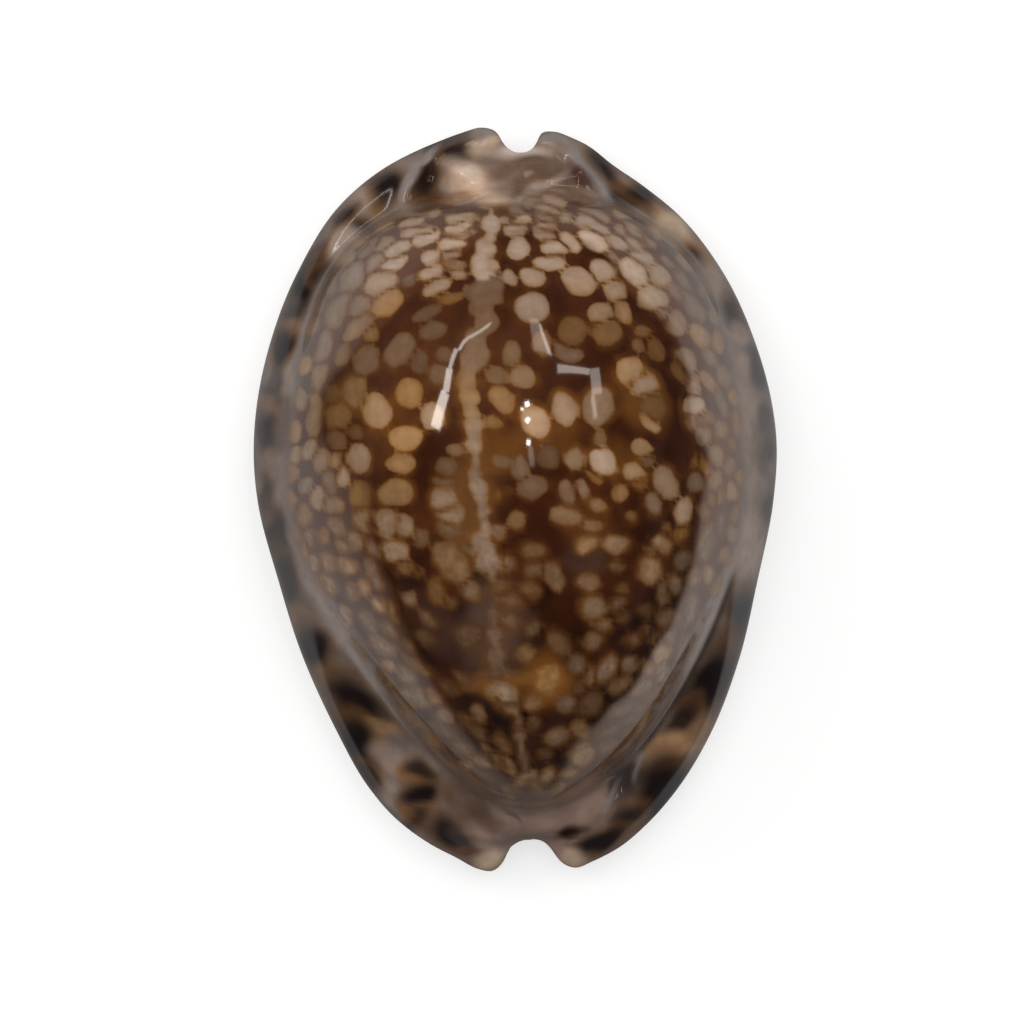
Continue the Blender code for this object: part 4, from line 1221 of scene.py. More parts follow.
def base_surface(tau, along, side):
    """Underside from the widest line (along 0) to the lip edge (along 1)."""
    angle = np.degrees(tau)
    edge_x, edge_y = edge_point(angle, side)
    lip_x, lip_y = lip_line(tau, side)
    share = 0.5 - 0.5 * np.cos(math.pi * along)
    x = edge_x + (lip_x - edge_x) * share
    y = edge_y + (lip_y - edge_y) * share
    from_edge = np.sqrt((x - edge_x) ** 2 + (y - edge_y) ** 2)
    from_lip = np.sqrt((x - lip_x) ** 2 + (y - lip_y) ** 2)
    roll = BASE_ROLL_END + (BASE_ROLL_SIDE - BASE_ROLL_END) * mid_share(y)
    past_edge = quarter(from_edge / roll)
    rise = END_RISE * ramp_up(np.abs(y), END_RISE_RAMP)
    rise = rise + LIP_HEIGHT * (1.0 - quarter(from_lip / LIP_ROLL))
    z = edge_height(angle, edge_y) * (1.0 - past_edge) + rise * past_edge
    cut = groove(lip_y) * (1.0 - ease(from_lip / TOOTH_REACH))
    return np.stack((x + side * TOOTH_LEAN * cut, y, z + TOOTH_DEPTH * cut), axis=-1)


def cavity_surface(tau, turn, left, right):
    """Wall of the hollow from the outer lip (turn 0) over the roof to the inner lip (turn 1)."""
    y = -LIP_END * np.cos(tau) * np.ones_like(turn)
    middle = 0.5 * (CAVITY_REAR + CAVITY_FRONT)
    reach = 0.5 * (CAVITY_REAR - CAVITY_FRONT)
    body = np.maximum(1.0 - ((y - middle) / reach) ** 2, 0.0) ** CAVITY_ROUNDNESS
    canal_x = 0.5 * (left[..., 0] + right[..., 0])
    canal_half = 0.5 * (right[..., 0] - left[..., 0]) + CANAL_UNDERCUT
    body_half = CAVITY_HALF_WIDTH * (1.0 - CAVITY_TAPER * ramp_down(y, CAVITY_TAPER_RAMP))
    half = canal_half + (body_half - canal_half) * body
    centre_x = canal_x * (1.0 - body) + CAVITY_CENTRE_X * body
    top = CANAL_ROOF + (TOP_HEIGHT - ROOF_THICKNESS - CANAL_ROOF) * body
    floor = CANAL_FLOOR + (CAVITY_FLOOR - CANAL_FLOOR) * body
    span = math.radians(CAVITY_SPAN) * (1.0 - CANAL_SPAN_CUT * (1.0 - body))
    lon = (2.0 * turn - 1.0) * span
    x = centre_x + half * np.sin(lon)
    z = 0.5 * (top + floor) + 0.5 * (top - floor) * np.cos(lon)
    points = np.stack((x, y, z), axis=-1)
    near_left = (1.0 - ease(turn / LIP_JOIN))[..., None]
    near_right = (1.0 - ease((1.0 - turn) / LIP_JOIN))[..., None]
    points = points + (left - points[:, :1]) * near_left
    return points + (right - points[:, -1:]) * near_right


def row_angles():
    """Angles of the rows from the front rim to the rear rim."""
    count = TEETH * ROWS_PER_TOOTH
    y = np.linspace(-TOOTH_SPAN, TOOTH_SPAN, count + 1)
    middle = np.arccos(-y / LIP_END)
    start = math.radians(RIM_ANGLE)
    share = np.linspace(0.0, 1.0, END_ROWS, endpoint=False)
    front = start + (middle[0] - start) * share**END_ROW_CROWDING
    return np.concatenate((front, middle, math.pi - front[::-1]))[:, None]


def outer_surface(tau):
    """Outer skin as rows of points from the outer lip round the back to the inner lip."""
    along = np.linspace(1.0, 0.0, BASE_COLUMNS + 1)[None, :]
    lon = np.radians(np.linspace(-90.0, 90.0, DORSAL_COLUMNS + 1))[None, :]
    left = base_surface(tau, along, -1)
    right = base_surface(tau, along[:, ::-1], 1)
    return np.concatenate((left, back_surface(tau, lon)[:, 1:-1], right), axis=1)


def inner_surface(tau, outer):
    """Wall of the hollow, joined to the outer skin along the lips and round both canal rims."""
    turn = np.linspace(0.0, 1.0, outer.shape[1])[None, :]
    inner = cavity_surface(tau, turn, outer[:, :1], outer[:, -1:])
    away = np.degrees(np.minimum(tau, math.pi - tau)) - RIM_ANGLE
    fade = (1.0 - ease(away / RIM_DEPTH))[..., None]
    shift = np.where((tau < 0.5 * math.pi)[..., None], outer[:1] - inner[:1], outer[-1:] - inner[-1:])
    inner = inner + shift * fade
    inner[:, 0] = outer[:, 0]
    inner[:, -1] = outer[:, -1]
    inner[0] = outer[0]
    inner[-1] = outer[-1]
    return inner


def mixed(a, b, share):
    """Mix of two colours or fields of colour."""
    share = np.asarray(share)[..., None]
    return np.array(a) * (1.0 - share) + np.array(b) * share


def ripple(x, y, seed, size):
    """Soft irregular number between about -1 and 1 with features of about the size given."""
    rng = np.random.default_rng(seed)
    total = np.zeros(np.shape(x))
    for _ in range(RIPPLE_COUNT):
        turn = rng.uniform(0.0, math.pi)
        wave = 2.0 * math.pi / (size * rng.uniform(*RIPPLE_SIZES))
        phase = rng.uniform(0.0, 2.0 * math.pi)
        total = total + np.sin((x * math.cos(turn) + y * math.sin(turn)) * wave + phase)
    return total / RIPPLE_LEVEL


def uneven(x, y, waves):
    """Share between 0 and 1 that wanders over the shell."""
    mean, swing, seed, size = waves
    return np.clip(mean + swing * ripple(x, y, seed, size), 0.0, 1.0)


def behind_dome(x, y):
    """0 on the painted part of the dome, 1 behind it, on the spire and the canal roof."""
    edge = np.interp(x, REAR_EDGE_X, REAR_EDGE_Y)
    return ease((y - edge) / REAR_EDGE_SOFT + 0.5)


def oval_axes(x, y, at_x, at_y, long, wide, turn):
    """Place within an oval, along and across it, in shares of its half length and half width."""
    c = math.cos(math.radians(turn))
    s = math.sin(math.radians(turn))
    away_x = x - at_x
    away_y = y - at_y
    return (away_x * c + away_y * s) / long, (away_y * c - away_x * s) / wide


def patched(colours, x, y, patches):
    """Soft patches of colour laid over a field of colour; the black-brown ones have a golden rim."""
    near_x = x + PATCH_WANDER * ripple(x, y, PATCH_SEEDS[0], PATCH_WAVES)
    near_y = y + PATCH_WANDER * ripple(x, y, PATCH_SEEDS[1], PATCH_WAVES)
    for *oval, tint, strength in patches:
        ring = np.hypot(*oval_axes(near_x, near_y, *oval))
        if tint == BLACK_BROWN:
            rim = BLOTCH_RIM_STRENGTH * strength * ramp_down(ring, BLOTCH_RIM_RAMP)
            colours = mixed(colours, BLOTCH_RIM, rim)
        colours = mixed(colours, tint, strength * ramp_down(ring, PATCH_RAMP))
    return colours


def on_dome(x, y):
    """1 on the dome, 0 on the margins, soft along the foot of the dome."""
    return 1.0 - ramp_up(dome_spread(x, y), DOME_EDGE_RAMP)


def seen_from_above(points):
    """Plan position of points as the camera overhead shows them against the outline of the shell."""
    grow = (CAMERA_HEIGHT - OUTLINE_LEVEL) / (CAMERA_HEIGHT - points[..., 2])
    return CAMERA_X + (points[..., 0] - CAMERA_X) * grow, CAMERA_Y + (points[..., 1] - CAMERA_Y) * grow


def reflection_edge_share(x, y):
    """1 along a painted dark edge of the card's reflection, a strip laid into the net just inside the line
    where the enamel starts to mirror the card.
    """
    near = np.sqrt(line_distance_squared(x, y, CARD_LINE + CARD_LINE[:1]))
    return np.exp(-((near / CARD_LINE_WIDTH) ** 2)) * uneven(x, y, CARD_LINE_WAVES)


def past_card_line(x, y):
    """0 inside that line, 1 outside it."""
    line = np.array(CARD_LINE)
    turn = np.arctan2(line[:, 1], line[:, 0])
    order = np.argsort(turn)
    reach = np.hypot(line[order, 0], line[order, 1])
    radius = np.interp(np.arctan2(y, x), turn[order], reach, period=2.0 * math.pi)
    return ease((np.hypot(x, y) - radius) / CARD_LINE_SOFT + 0.5)


def net_colour(x, y):
    """Brown net of the dome and of its flanks, as seen from above."""
    net = mixed(CHOCOLATE, VEILED_NET, VEILED_SHARE * bump(x, y, *VEILED_AREA))
    net = net * (1.0 - FRONT_NET_LOSS * ramp_down(y, FRONT_NET_RAMP))[..., None]
    net = mixed(net, RUSSET, uneven(x, y, RUSSET_WAVES))
    net = patched(net, x, y, BACK_PATCHES)
    # painted dark edge of the card's reflection, laid into the net
    net = mixed(net, CHOCOLATE, REFLECTION_EDGE_SHARE * reflection_edge_share(x, y))
    # past the line where the enamel mirrors the card the net is paler and redder: partly the flanks' own
    # colour, partly painted light and reflection
    flank = mixed(FLANK_NET, UPPER_FLANK_NET, ramp_up(y, UPPER_FLANK_RAMP))
    right = RIGHT_FLANK_SHARE * ramp_up(x, RIGHT_FLANK_ACROSS) * ramp_down(y, RIGHT_FLANK_FRONT)
    flank = mixed(flank, RIGHT_FLANK_NET, right)
    return mixed(net, flank, past_card_line(x, y))


def foot_colour(net, spread, x, y):
    """The net fading to a pale line along the foot of the dome; the grey band and the pale line are partly
    the foot's own paler enamel and partly painted reflection and highlight of the bright floor.
    """
    foot = FOOT_START - FOOT_FRONT_SHIFT * ramp_down(y, FOOT_FRONT_RAMP)
    tip = ramp_down(y, FOOT_TIP_RAMP)
    crease_tone = mixed(CREASE_PALE, BROWN, FOOT_TIP_BROWN * tip)
    net = mixed(net, crease_tone, ease((spread - foot) / FOOT_SOFT))
    across = FOOT_PALE_LEFT + FOOT_PALE_RIGHT * ramp_up(x, FOOT_PALE_ACROSS)
    front_foot = ramp_down(y, FOOT_PALE_RAMP) * across * (1.0 - FOOT_PALE_TIP_LOSS * tip)
    return mixed(net, FOOT_PALE, front_foot * ease((spread - foot) / FOOT_PALE_SOFT))


def ground_colour(points):
    """Colour of the outer skin under the pale spots, with painted shade in the crease at the foot of the
    dome and in the hollows of the ends, and painted highlight on their ridges.
    """
    x, y = seen_from_above(points)
    spread = dome_spread(points[..., 0], points[..., 1])
    net = foot_colour(net_colour(x, y), spread, x, y)
    margin = mixed(CALLUS, PALE_CALLUS, uneven(x, y, CALLUS_WAVES))
    # margin and end patches; those in the hollows of the ends are painted shade, the grey ones on their
    # ridges painted highlight
    margin = patched(margin, x, y, MARGIN_PATCHES)
    margin = patched(margin, x, y, END_PATCHES)
    ground = mixed(margin, net, on_dome(points[..., 0], points[..., 1]) * (1.0 - behind_dome(x, y)))
    # painted shade in the crease at the foot of the dome
    crease = np.exp(-(((spread - CREASE_SHADE_SPREAD) / CREASE_SHADE_WIDTH) ** 2))
    crease = crease * ramp_up(x, CREASE_SHADE_ACROSS) * ramp_down(y, CREASE_SHADE_FRONT)
    crease = crease * ramp_up(y, CREASE_SHADE_TIP)
    return mixed(ground, CREASE_SHADE, CREASE_SHADE_SHARE * crease)


class SpotField:
    """Distances to the two nearest spots at every point, with the look of the nearest."""

    def __init__(self, count):
        self.near = np.full(count, NO_SPOT)
        self.second = np.full(count, NO_SPOT)
        self.pale = np.zeros(count)
        self.warm = np.zeros(count)

    def add(self, pick, gap, paleness, warmth):
        closer = gap < self.near[pick]
        self.second[pick] = np.where(closer, self.near[pick], np.minimum(self.second[pick], gap))
        self.near[pick] = np.minimum(self.near[pick], gap)
        self.pale[pick[closer]] = paleness
        self.warm[pick[closer]] = warmth

    def edge(self):
        """Distance to the edge of the spots, with a strip of net kept between neighbours."""
        return np.maximum(self.near, NET_STRIP - 0.5 * (self.second - self.near))


def add_spots(field, x, y, back, spots):
    """Adds oval spots given as they are seen from above."""
    for *oval, paleness, warmth in spots:
        at_x, at_y, long, wide, _ = oval
        reach = 3.0 * long
        pick = np.flatnonzero((np.abs(x - at_x) < reach) & (np.abs(y - at_y) < reach) & back)
        u, v = oval_axes(x[pick], y[pick], *oval)
        ring = np.hypot(u, v) + 1.0e-6
        slope = np.hypot(u / long, v / wide) + 1.0e-6 / wide
        gap = (ring - 1.0) * ring / slope - SPOT_GROWTH
        field.add(pick, gap, paleness, warmth)


def spot_field(points, back):
    """Field of the placed spots and of those that fill the gaps between them."""
    field = SpotField(len(points))
    x, y = seen_from_above(points)
    x = x + SPOT_WANDER * ripple(x, y, SPOT_SEEDS[0], SPOT_WAVES)
    y = y + SPOT_WANDER * ripple(x, y, SPOT_SEEDS[1], SPOT_WAVES)
    add_spots(field, x, y, back, SPOTS)
    add_mantle_line(field, x, y, np.flatnonzero(back))
    spread = dome_spread(points[:, 0], points[:, 1])
    open_points = np.flatnonzero(back & (spread < FILLER_SPREAD) & (field.near > FILLER_CLEAR))
    fillers = filler_spots(x[open_points], y[open_points], field.near[open_points])
    add_spots(field, x, y, back, fillers)
    return field


def add_mantle_line(field, x, y, pick):
    """Adds the pale line of merged blotches to the spots, without a strip of net between its parts."""
    x = x[pick]
    y = y[pick]
    wave = 1.0 + MANTLE_WANDER * ripple(x, y, MANTLE_SEED, MANTLE_WAVES)
    for start, end in zip(MANTLE_LINE[:-1], MANTLE_LINE[1:]):
        x0, y0, wide0, pale0, warm0 = start
        _, _, wide1, pale1, warm1 = end
        share, away_x, away_y = beside_segment(x, y, start, end)
        ribbon = np.hypot(away_x, away_y)
        ribbon = ribbon - wave * RIBBON_SHARE * (wide0 + share * (wide1 - wide0))
        lobe = np.hypot(x - x0, y - y0) - wide0 * wave
        gap = np.minimum(ribbon, lobe)
        closer = gap < field.near[pick]
        at = pick[closer]
        field.near[at] = gap[closer]
        field.pale[at] = (pale0 + share * (pale1 - pale0))[closer]
        field.warm[at] = (warm0 + share * (warm1 - warm0))[closer]
        field.second[at] = NO_SPOT


def quiet_parts(x, y, outside):
    """Where no spots are filled in: the dark patches, and the dome behind its middle."""
    quiet = (y > FILLER_REAR) & (outside < 0.5)
    for *oval, tint, _ in BACK_PATCHES:
        if tint == CHOCOLATE:
            quiet |= np.hypot(*oval_axes(x, y, *oval)) < 1.0
    return quiet


def filler_fits(kept, x, y, long, wide, along, strip):
    """Whether an oval along the flank is clear of those kept so far."""
    c = math.cos(along)
    s = math.sin(along)
    for near_x, near_y, near_long, near_wide, *_ in kept:
        u = (x - near_x) * c + (y - near_y) * s
        v = (y - near_y) * c - (x - near_x) * s
        reach_u = long + near_long + strip
        reach_v = wide + near_wide + strip
        if (u / reach_u) ** 2 + (v / reach_v) ** 2 < 1.0:
            return False
    return True


def filler_spots(x, y, placed_near):
    """Ovals along the flanks and rounder spots on the dome, where the placed spots leave it open."""
    rng = np.random.default_rng(FILLER_SEED)
    outside = past_card_line(x, y)
    quiet = quiet_parts(x, y, outside)
    along = np.arctan2(y / SHELL_HALF_LENGTH**2, x / SHELL_HALF_WIDTH**2) + math.pi / 2.0
    kept = []
    for at in rng.permutation(len(x)):
        wide = (FILLER_WIDE + FILLER_WIDER * (1.0 - outside[at])) * rng.uniform(*FILLER_SWING)
        room = wide * (FILLER_ROOM[0] - FILLER_ROOM[1] * outside[at])
        if quiet[at] or placed_near[at] < room:
            continue
        long = wide * rng.uniform(*FILLER_STRETCH) + FILLER_FLANK_STRETCH * wide * outside[at]
        strip = FILLER_STRIP + FILLER_DOME_STRIP * (1.0 - outside[at])
        if filler_fits(kept, x[at], y[at], long, wide, along[at], strip):
            paleness = rng.uniform(*FILLER_PALENESS) + rng.uniform(*FILLER_FLANK_PALENESS) * outside[at]
            turn = math.degrees(along[at]) + rng.uniform(-FILLER_TURN, FILLER_TURN)
            kept.append((x[at], y[at], long, wide, turn, paleness, rng.uniform(*FILLER_WARMTH)))
    return kept


def soften_crease(outer):
    """Evens out the fillet at the foot of the dome, which crosses the rows and columns aslant."""
    back = outer[:, BASE_COLUMNS:-BASE_COLUMNS]
    spread = dome_spread(back[..., 0], back[..., 1])
    share = CREASE_SHARE * np.exp(-(((spread - CREASE_SPREAD) / CREASE_WIDTH) ** 2))[1:-1, 1:-1, None]
    for _ in range(CREASE_PASSES):
        beside = 0.25 * (back[:-2, 1:-1] + back[2:, 1:-1] + back[1:-1, :-2] + back[1:-1, 2:])
        back[1:-1, 1:-1] += share * (beside - back[1:-1, 1:-1])
    return outer


def shell_arrays():
    """Points of the outer skin by row and column, all points, and the faces."""
    tau = row_angles()
    outer = soften_crease(outer_surface(tau))
    inner = inner_surface(tau, outer)
    rows, columns = outer.shape[:2]
    outer_index = np.arange(rows * columns).reshape(rows, columns)
    inner_index = outer_index.copy()
    inside = (rows - 2) * (columns - 2)
    inner_index[1:-1, 1:-1] = rows * columns + np.arange(inside).reshape(rows - 2, columns - 2)
    points = np.concatenate((outer.reshape(-1, 3), inner[1:-1, 1:-1].reshape(-1, 3)))
    faces = np.concatenate((cells(outer_index)[:, ::-1], cells(inner_index)))
    return outer, points, faces


def cells(index):
    """Quads between neighbouring rows and columns."""
    quads = np.stack((index[:-1, :-1], index[1:, :-1], index[1:, 1:], index[:-1, 1:]), axis=-1)
    return quads.reshape(-1, 4)


def base_colour(outer):
    """Colour of the underside by row and column: fawn, with brown teeth beside the aperture."""
    x = outer[..., 0]
    y = outer[..., 1]
    fawn = mixed(FAWN, ROSE, uneven(x, y, BASE_WAVES))
    lip_y = outer[:, :1, 1]
    left = np.hypot(x - outer[:, :1, 0], y - lip_y)
    right = np.hypot(x - outer[:, -1:, 0], y - outer[:, -1:, 1])
    near_lip = 1.0 - ramp_up(np.minimum(left, right), TOOTH_TINT_RAMP)
    teeth = ramp_down(np.abs(lip_y), (TOOTH_SPAN + TOOTH_TINT_END, TOOTH_TINT_END_RUN))
    ridge = (1.0 - groove(lip_y)) * near_lip * teeth
    return mixed(fawn, TOOTH_BROWN, TOOTH_TINT * ridge)


def wash_colours(outer, count):
    """Colour under the pale spots: the skin first, then the hollow; and which points are on the back."""
    rows, columns = outer.shape[:2]
    row = np.arange(rows)[:, None]
    column = np.arange(columns)[None, :]
    edge = np.where(column < columns / 2, BASE_COLUMNS, columns - 1 - BASE_COLUMNS)
    from_edge = np.hypot(outer[..., 0] - outer[row, edge, 0], outer[..., 1] - outer[row, edge, 1])
    under = (column < BASE_COLUMNS) | (column > columns - 1 - BASE_COLUMNS)
    share = np.where(under, ramp_up(from_edge, BASE_RAMP), 0.0)
    skin = mixed(ground_colour(outer), base_colour(outer), share).reshape(-1, 3)
    hollow = np.tile(np.array(LILAC), (count - len(skin), 1))
    back = np.zeros(count, bool)
    back[: len(skin)] = np.tile(~under, (rows, 1)).ravel()
    return np.concatenate((skin, hollow)), back


def spire_share(points):
    """Patch of spots behind the dome, right of the spire."""
    return np.clip(SPIRE_STRENGTH * bump(points[:, 0], points[:, 1], *SPIRE_PATCH), 0.0, 1.0)


def spot_colours(field, seen_x, seen_y):
    """Colour of the nearest spot at every point."""
    rear = ramp_up(seen_y, REAR_RAMP)
    spot = mixed(SPOT_COOL, SPOT_WARM, field.warm * (1.0 - REAR_COOLING * rear))
    # spots paler past the line where the enamel mirrors the card: partly painted reflection
    lift = FLANK_PALENESS * (1.0 - FLANK_PALENESS_LOSS * ramp_up(seen_y, FLANK_PALENESS_RAMP))
    paleness = field.pale + lift * past_card_line(seen_x, seen_y) + REAR_PALENESS * rear
    return mixed(SPOT_DIM, spot, paleness**PALENESS_POWER)


def spotted_share(points, back, seen_x, seen_y):
    """1 where the spots show in full, 0 on the margins, the underside and the foot of the dome."""
    spire = spire_share(points)
    share = np.maximum(on_dome(points[:, 0], points[:, 1]) * (1.0 - behind_dome(seen_x, seen_y)), spire)
    # spots fade under the painted dark edge of the card's reflection
    share = np.where(back, share * (1.0 - CARD_LINE_SPOT_LOSS * reflection_edge_share(seen_x, seen_y)), 0.0)
    foot = FOOT_START - FOOT_SPOT_SHIFT * ramp_down(seen_y, FOOT_FRONT_RAMP)
    on_foot = ease((dome_spread(points[:, 0], points[:, 1]) - foot) / FOOT_SPOT_SOFT) * (1.0 - spire)
    return share * (1.0 - on_foot)


def halo_share(field, seen_x, seen_y):
    """Strength of the amber halo round the nearest spot."""
    glow = np.clip(field.pale, 0.0, 1.0) * (1.0 - HALO_REAR_LOSS * ramp_up(seen_y, HALO_REAR_RAMP))
    return glow * (1.0 - HALO_FLANK_LOSS * past_card_line(seen_x, seen_y))


def add_number(mesh, name, values):
    field = mesh.attributes.new(name, "FLOAT", "POINT")
    field.data.foreach_set("value", values.astype(np.float32))


def add_colour(mesh, name, values):
    field = mesh.attributes.new(name, "FLOAT_COLOR", "POINT")
    full = np.concatenate((values, np.ones((len(values), 1))), axis=1)
    field.data.foreach_set("color", full.astype(np.float32).ravel())


def paint(mesh, outer, points):
    """Stores the washes, the spots and the shares that the shader mixes them by."""
    wash, back = wash_colours(outer, len(points))
    field = spot_field(points, back)
    seen_x, seen_y = seen_from_above(points)
    spotted = spotted_share(points, back, seen_x, seen_y)
    add_colour(mesh, "wash", wash)
    add_colour(mesh, "spot_colour", spot_colours(field, seen_x, seen_y))
    add_number(mesh, "spot_gap", field.edge())
    add_number(mesh, "spotted", spotted)
    add_number(mesh, "halo", spotted * halo_share(field, seen_x, seen_y))
    add_number(mesh, "blur", ramp_down(points[:, 1], BLUR_RAMP))
    add_number(mesh, "satin", np.where(back, 1.0 - on_dome(points[:, 0], points[:, 1]), 1.0))


def build_shell():
    outer, points, faces = shell_arrays()
    mesh = bpy.data.meshes.new("shell_enamel")
    mesh.from_pydata((points * MM).tolist(), [], faces.tolist())
    mesh.polygons.foreach_set("use_smooth", [True] * len(mesh.polygons))
    paint(mesh, outer, points)
    mesh.update()
    shell = bpy.data.objects.new("shell_enamel", mesh)
    bpy.context.scene.collection.objects.link(shell)
    shell.data.materials.append(shell_material())
    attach(shell, "root")
    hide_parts(NODE)
    return shell


class Nodes:
    """Short way to add nodes to one node tree."""

    def __init__(self, tree):
        self.tree = tree

    def add(self, kind, **settings):
        node = self.tree.nodes.new(kind)
        for name, value in settings.items():
            setattr(node, name, value)
        return node

    def put(self, socket, value):
        if isinstance(value, bpy.types.NodeSocket):
            self.tree.links.new(value, socket)
        else:
            socket.default_value = value

    def calc(self, operation, a, b=0.0, c=0.0):
        node = self.add("ShaderNodeMath", operation=operation)
        self.put(node.inputs[0], a)
        self.put(node.inputs[1], b)
        self.put(node.inputs[2], c)
        return node.outputs[0]

    def line(self, value, slope, start):
        """slope times the value, plus start"""
        return self.calc("MULTIPLY_ADD", value, slope, start)

    def span(self, value, low, high, out_low=0.0, out_high=1.0):
        node = self.add("ShaderNodeMapRange", interpolation_type="SMOOTHSTEP")
        self.put(node.inputs["Value"], value)
        self.put(node.inputs["From Min"], low)
        self.put(node.inputs["From Max"], high)
        self.put(node.inputs["To Min"], out_low)
        self.put(node.inputs["To Max"], out_high)
        return node.outputs["Result"]

    def mix(self, share, a, b, blend="MIX"):
        node = self.add("ShaderNodeMix", data_type="RGBA", blend_type=blend)
        self.put(node.inputs["Factor"], share)
        self.put(node.inputs[6], a)
        self.put(node.inputs[7], b)
        return node.outputs[2]

    def number(self, name):
        return self.add("ShaderNodeAttribute", attribute_name=name).outputs["Fac"]

    def colour(self, name):
        return self.add("ShaderNodeAttribute", attribute_name=name).outputs["Color"]

    def noise(self, size_mm, detail):
        node = self.add("ShaderNodeTexNoise")
        node.inputs["Scale"].default_value = 1.0 / (size_mm * MM)
        node.inputs["Detail"].default_value = detail
        node.inputs["Roughness"].default_value = 0.5
        self.put(node.inputs["Vector"], self.add("ShaderNodeTexCoord").outputs["Object"])
        return node.outputs["Fac"]


def tone(colour):
    return (colour[0], colour[1], colour[2], 1.0)


def spot_tint(n, edge, blur):
    """Colour inside the spots, cloudy and a little darker towards their edge."""
    swing = n.line(blur, CLOUD_SWING_FRONT, CLOUD_SWING)
    cloud = n.line(n.span(n.noise(*CLOUD_NOISE), *CLOUD_SPAN), swing, 1.0)
    cloud = n.calc("MULTIPLY", cloud, n.span(edge, *SPOT_DEPTH_SPAN))
    return n.mix(1.0, n.colour("spot_colour"), cloud, "MULTIPLY")


def enamel_colour(n):
    """Washes of colour, a net with amber halos, and pale spots with a soft warm rim."""
    wash = n.mix(1.0, n.colour("wash"), n.span(n.noise(*MOTTLE_NOISE), *MOTTLE_SPAN), "MULTIPLY")
    blur = n.number("blur")
    wobble = n.calc("SUBTRACT", n.noise(*WOBBLE_NOISE), 0.5)
    wobble = n.calc("MULTIPLY", wobble, n.line(blur, WOBBLE_FRONT, WOBBLE))
    edge = n.calc("ADD", n.number("spot_gap"), wobble)
    patchy = n.calc("MULTIPLY", n.span(n.noise(*HALO_NOISE), *HALO_SPAN), n.number("halo"))
    halo = n.calc("MULTIPLY", n.span(edge, HALO_WIDTH, 0.0), patchy)
    netted = n.mix(n.calc("MULTIPLY", halo, HALO_SHARE), wash, tone(AMBER))
    spotted = n.number("spotted")
    soft = n.line(blur, RIM_FRONT, RIM)
    rim = n.calc("MULTIPLY", n.span(edge, soft, n.calc("MULTIPLY", soft, -1.0)), spotted)
    netted = n.mix(rim, netted, n.mix(1.0, n.colour("spot_colour"), tone(RIM_TINT), "MULTIPLY"))
    core = n.calc("MULTIPLY", n.span(edge, 0.0, n.line(blur, -CORE_FRONT, -CORE)), spotted)
    return n.mix(core, netted, spot_tint(n, edge, blur))


def shell_material():
    """Glossy enamel."""
    material = bpy.data.materials.new("shell_enamel")
    material.use_nodes = True
    shader = material.node_tree.nodes["Principled BSDF"]
    n = Nodes(material.node_tree)
    n.put(shader.inputs["Base Color"], enamel_colour(n))
    n.put(shader.inputs["Roughness"], n.line(n.number("satin"), MARGIN_ROUGHNESS, ENAMEL_ROUGHNESS))
    shader.inputs["IOR"].default_value = ENAMEL_IOR
    return material


def dome_seen_at(x, y):
    """Point of the dome that the camera shows at a plan position."""
    px, py = x, y
    for _ in range(SEEN_STEPS):
        pz = float(dome_height(px, py))
        shrink = (CAMERA_HEIGHT - pz) / (CAMERA_HEIGHT - OUTLINE_LEVEL)
        px = CAMERA_X + (x - CAMERA_X) * shrink
        py = CAMERA_Y + (y - CAMERA_Y) * shrink
    return Vector((px, py, pz))


def mirror_direction(x, y):
    """Where the dome mirrors the room to the camera, at a plan position that the camera shows."""
    step = SLOPE_STEP
    at = dome_seen_at(x, y)
    dx = (dome_height(at.x + step, at.y) - dome_height(at.x - step, at.y)) / (2.0 * step)
    dy = (dome_height(at.x, at.y + step) - dome_height(at.x, at.y - step)) / (2.0 * step)
    normal = Vector((-float(dx), -float(dy), 1.0)).normalized()
    view = (Vector((CAMERA_X, CAMERA_Y, CAMERA_HEIGHT)) - at).normalized()
    return 2.0 * normal.dot(view) * normal - view


def card_radius(turn):
    """Reach of the white card on the floor by direction, from where the dome mirrors its edge."""
    turns = []
    reaches = []
    for x, y in CARD_LINE:
        at = dome_seen_at(x, y)
        ray = mirror_direction(x, y)
        run = at.z / max(-ray.z, FLATTEST_RAY)
        spot = (at.x + ray.x * run, at.y + ray.y * run)
        turns.append(math.atan2(spot[1], spot[0]))
        reaches.append(min(max(math.hypot(*spot), CARD_NEAR), CARD_FAR))
    return np.interp(turn, turns, reaches, period=2.0 * math.pi)


def card_glow(x, y):
    """Brightness of the floor in the shell's gloss: the card, softly shaded beside the shell."""
    turn = np.arctan2(y, x)
    radius = np.hypot(x, y)
    outline = 1.0 / np.hypot(np.cos(turn) / SHELL_HALF_WIDTH, np.sin(turn) / SHELL_HALF_LENGTH)
    level = CARD_LEVEL + CARD_RIGHT * np.cos(turn) + CARD_REAR * np.sin(turn)
    level = level + CARD_SIDES * np.cos(2.0 * turn) - CARD_CORNERS * np.cos(4.0 * turn)
    shaded = CARD_SHADE + (1.0 - CARD_SHADE) * ease((radius - outline) / CARD_SHADE_RUN)
    edge = card_radius(turn)
    veil = (CARD_VEIL - CARD_VEIL_SIDE * np.cos(turn)) * np.maximum(edge - outline, 0.0)
    inside = 1.0 - ease((radius - edge + veil) / (veil + CARD_FADE))
    return GREY_ROOM + (level * shaded - GREY_ROOM) * inside


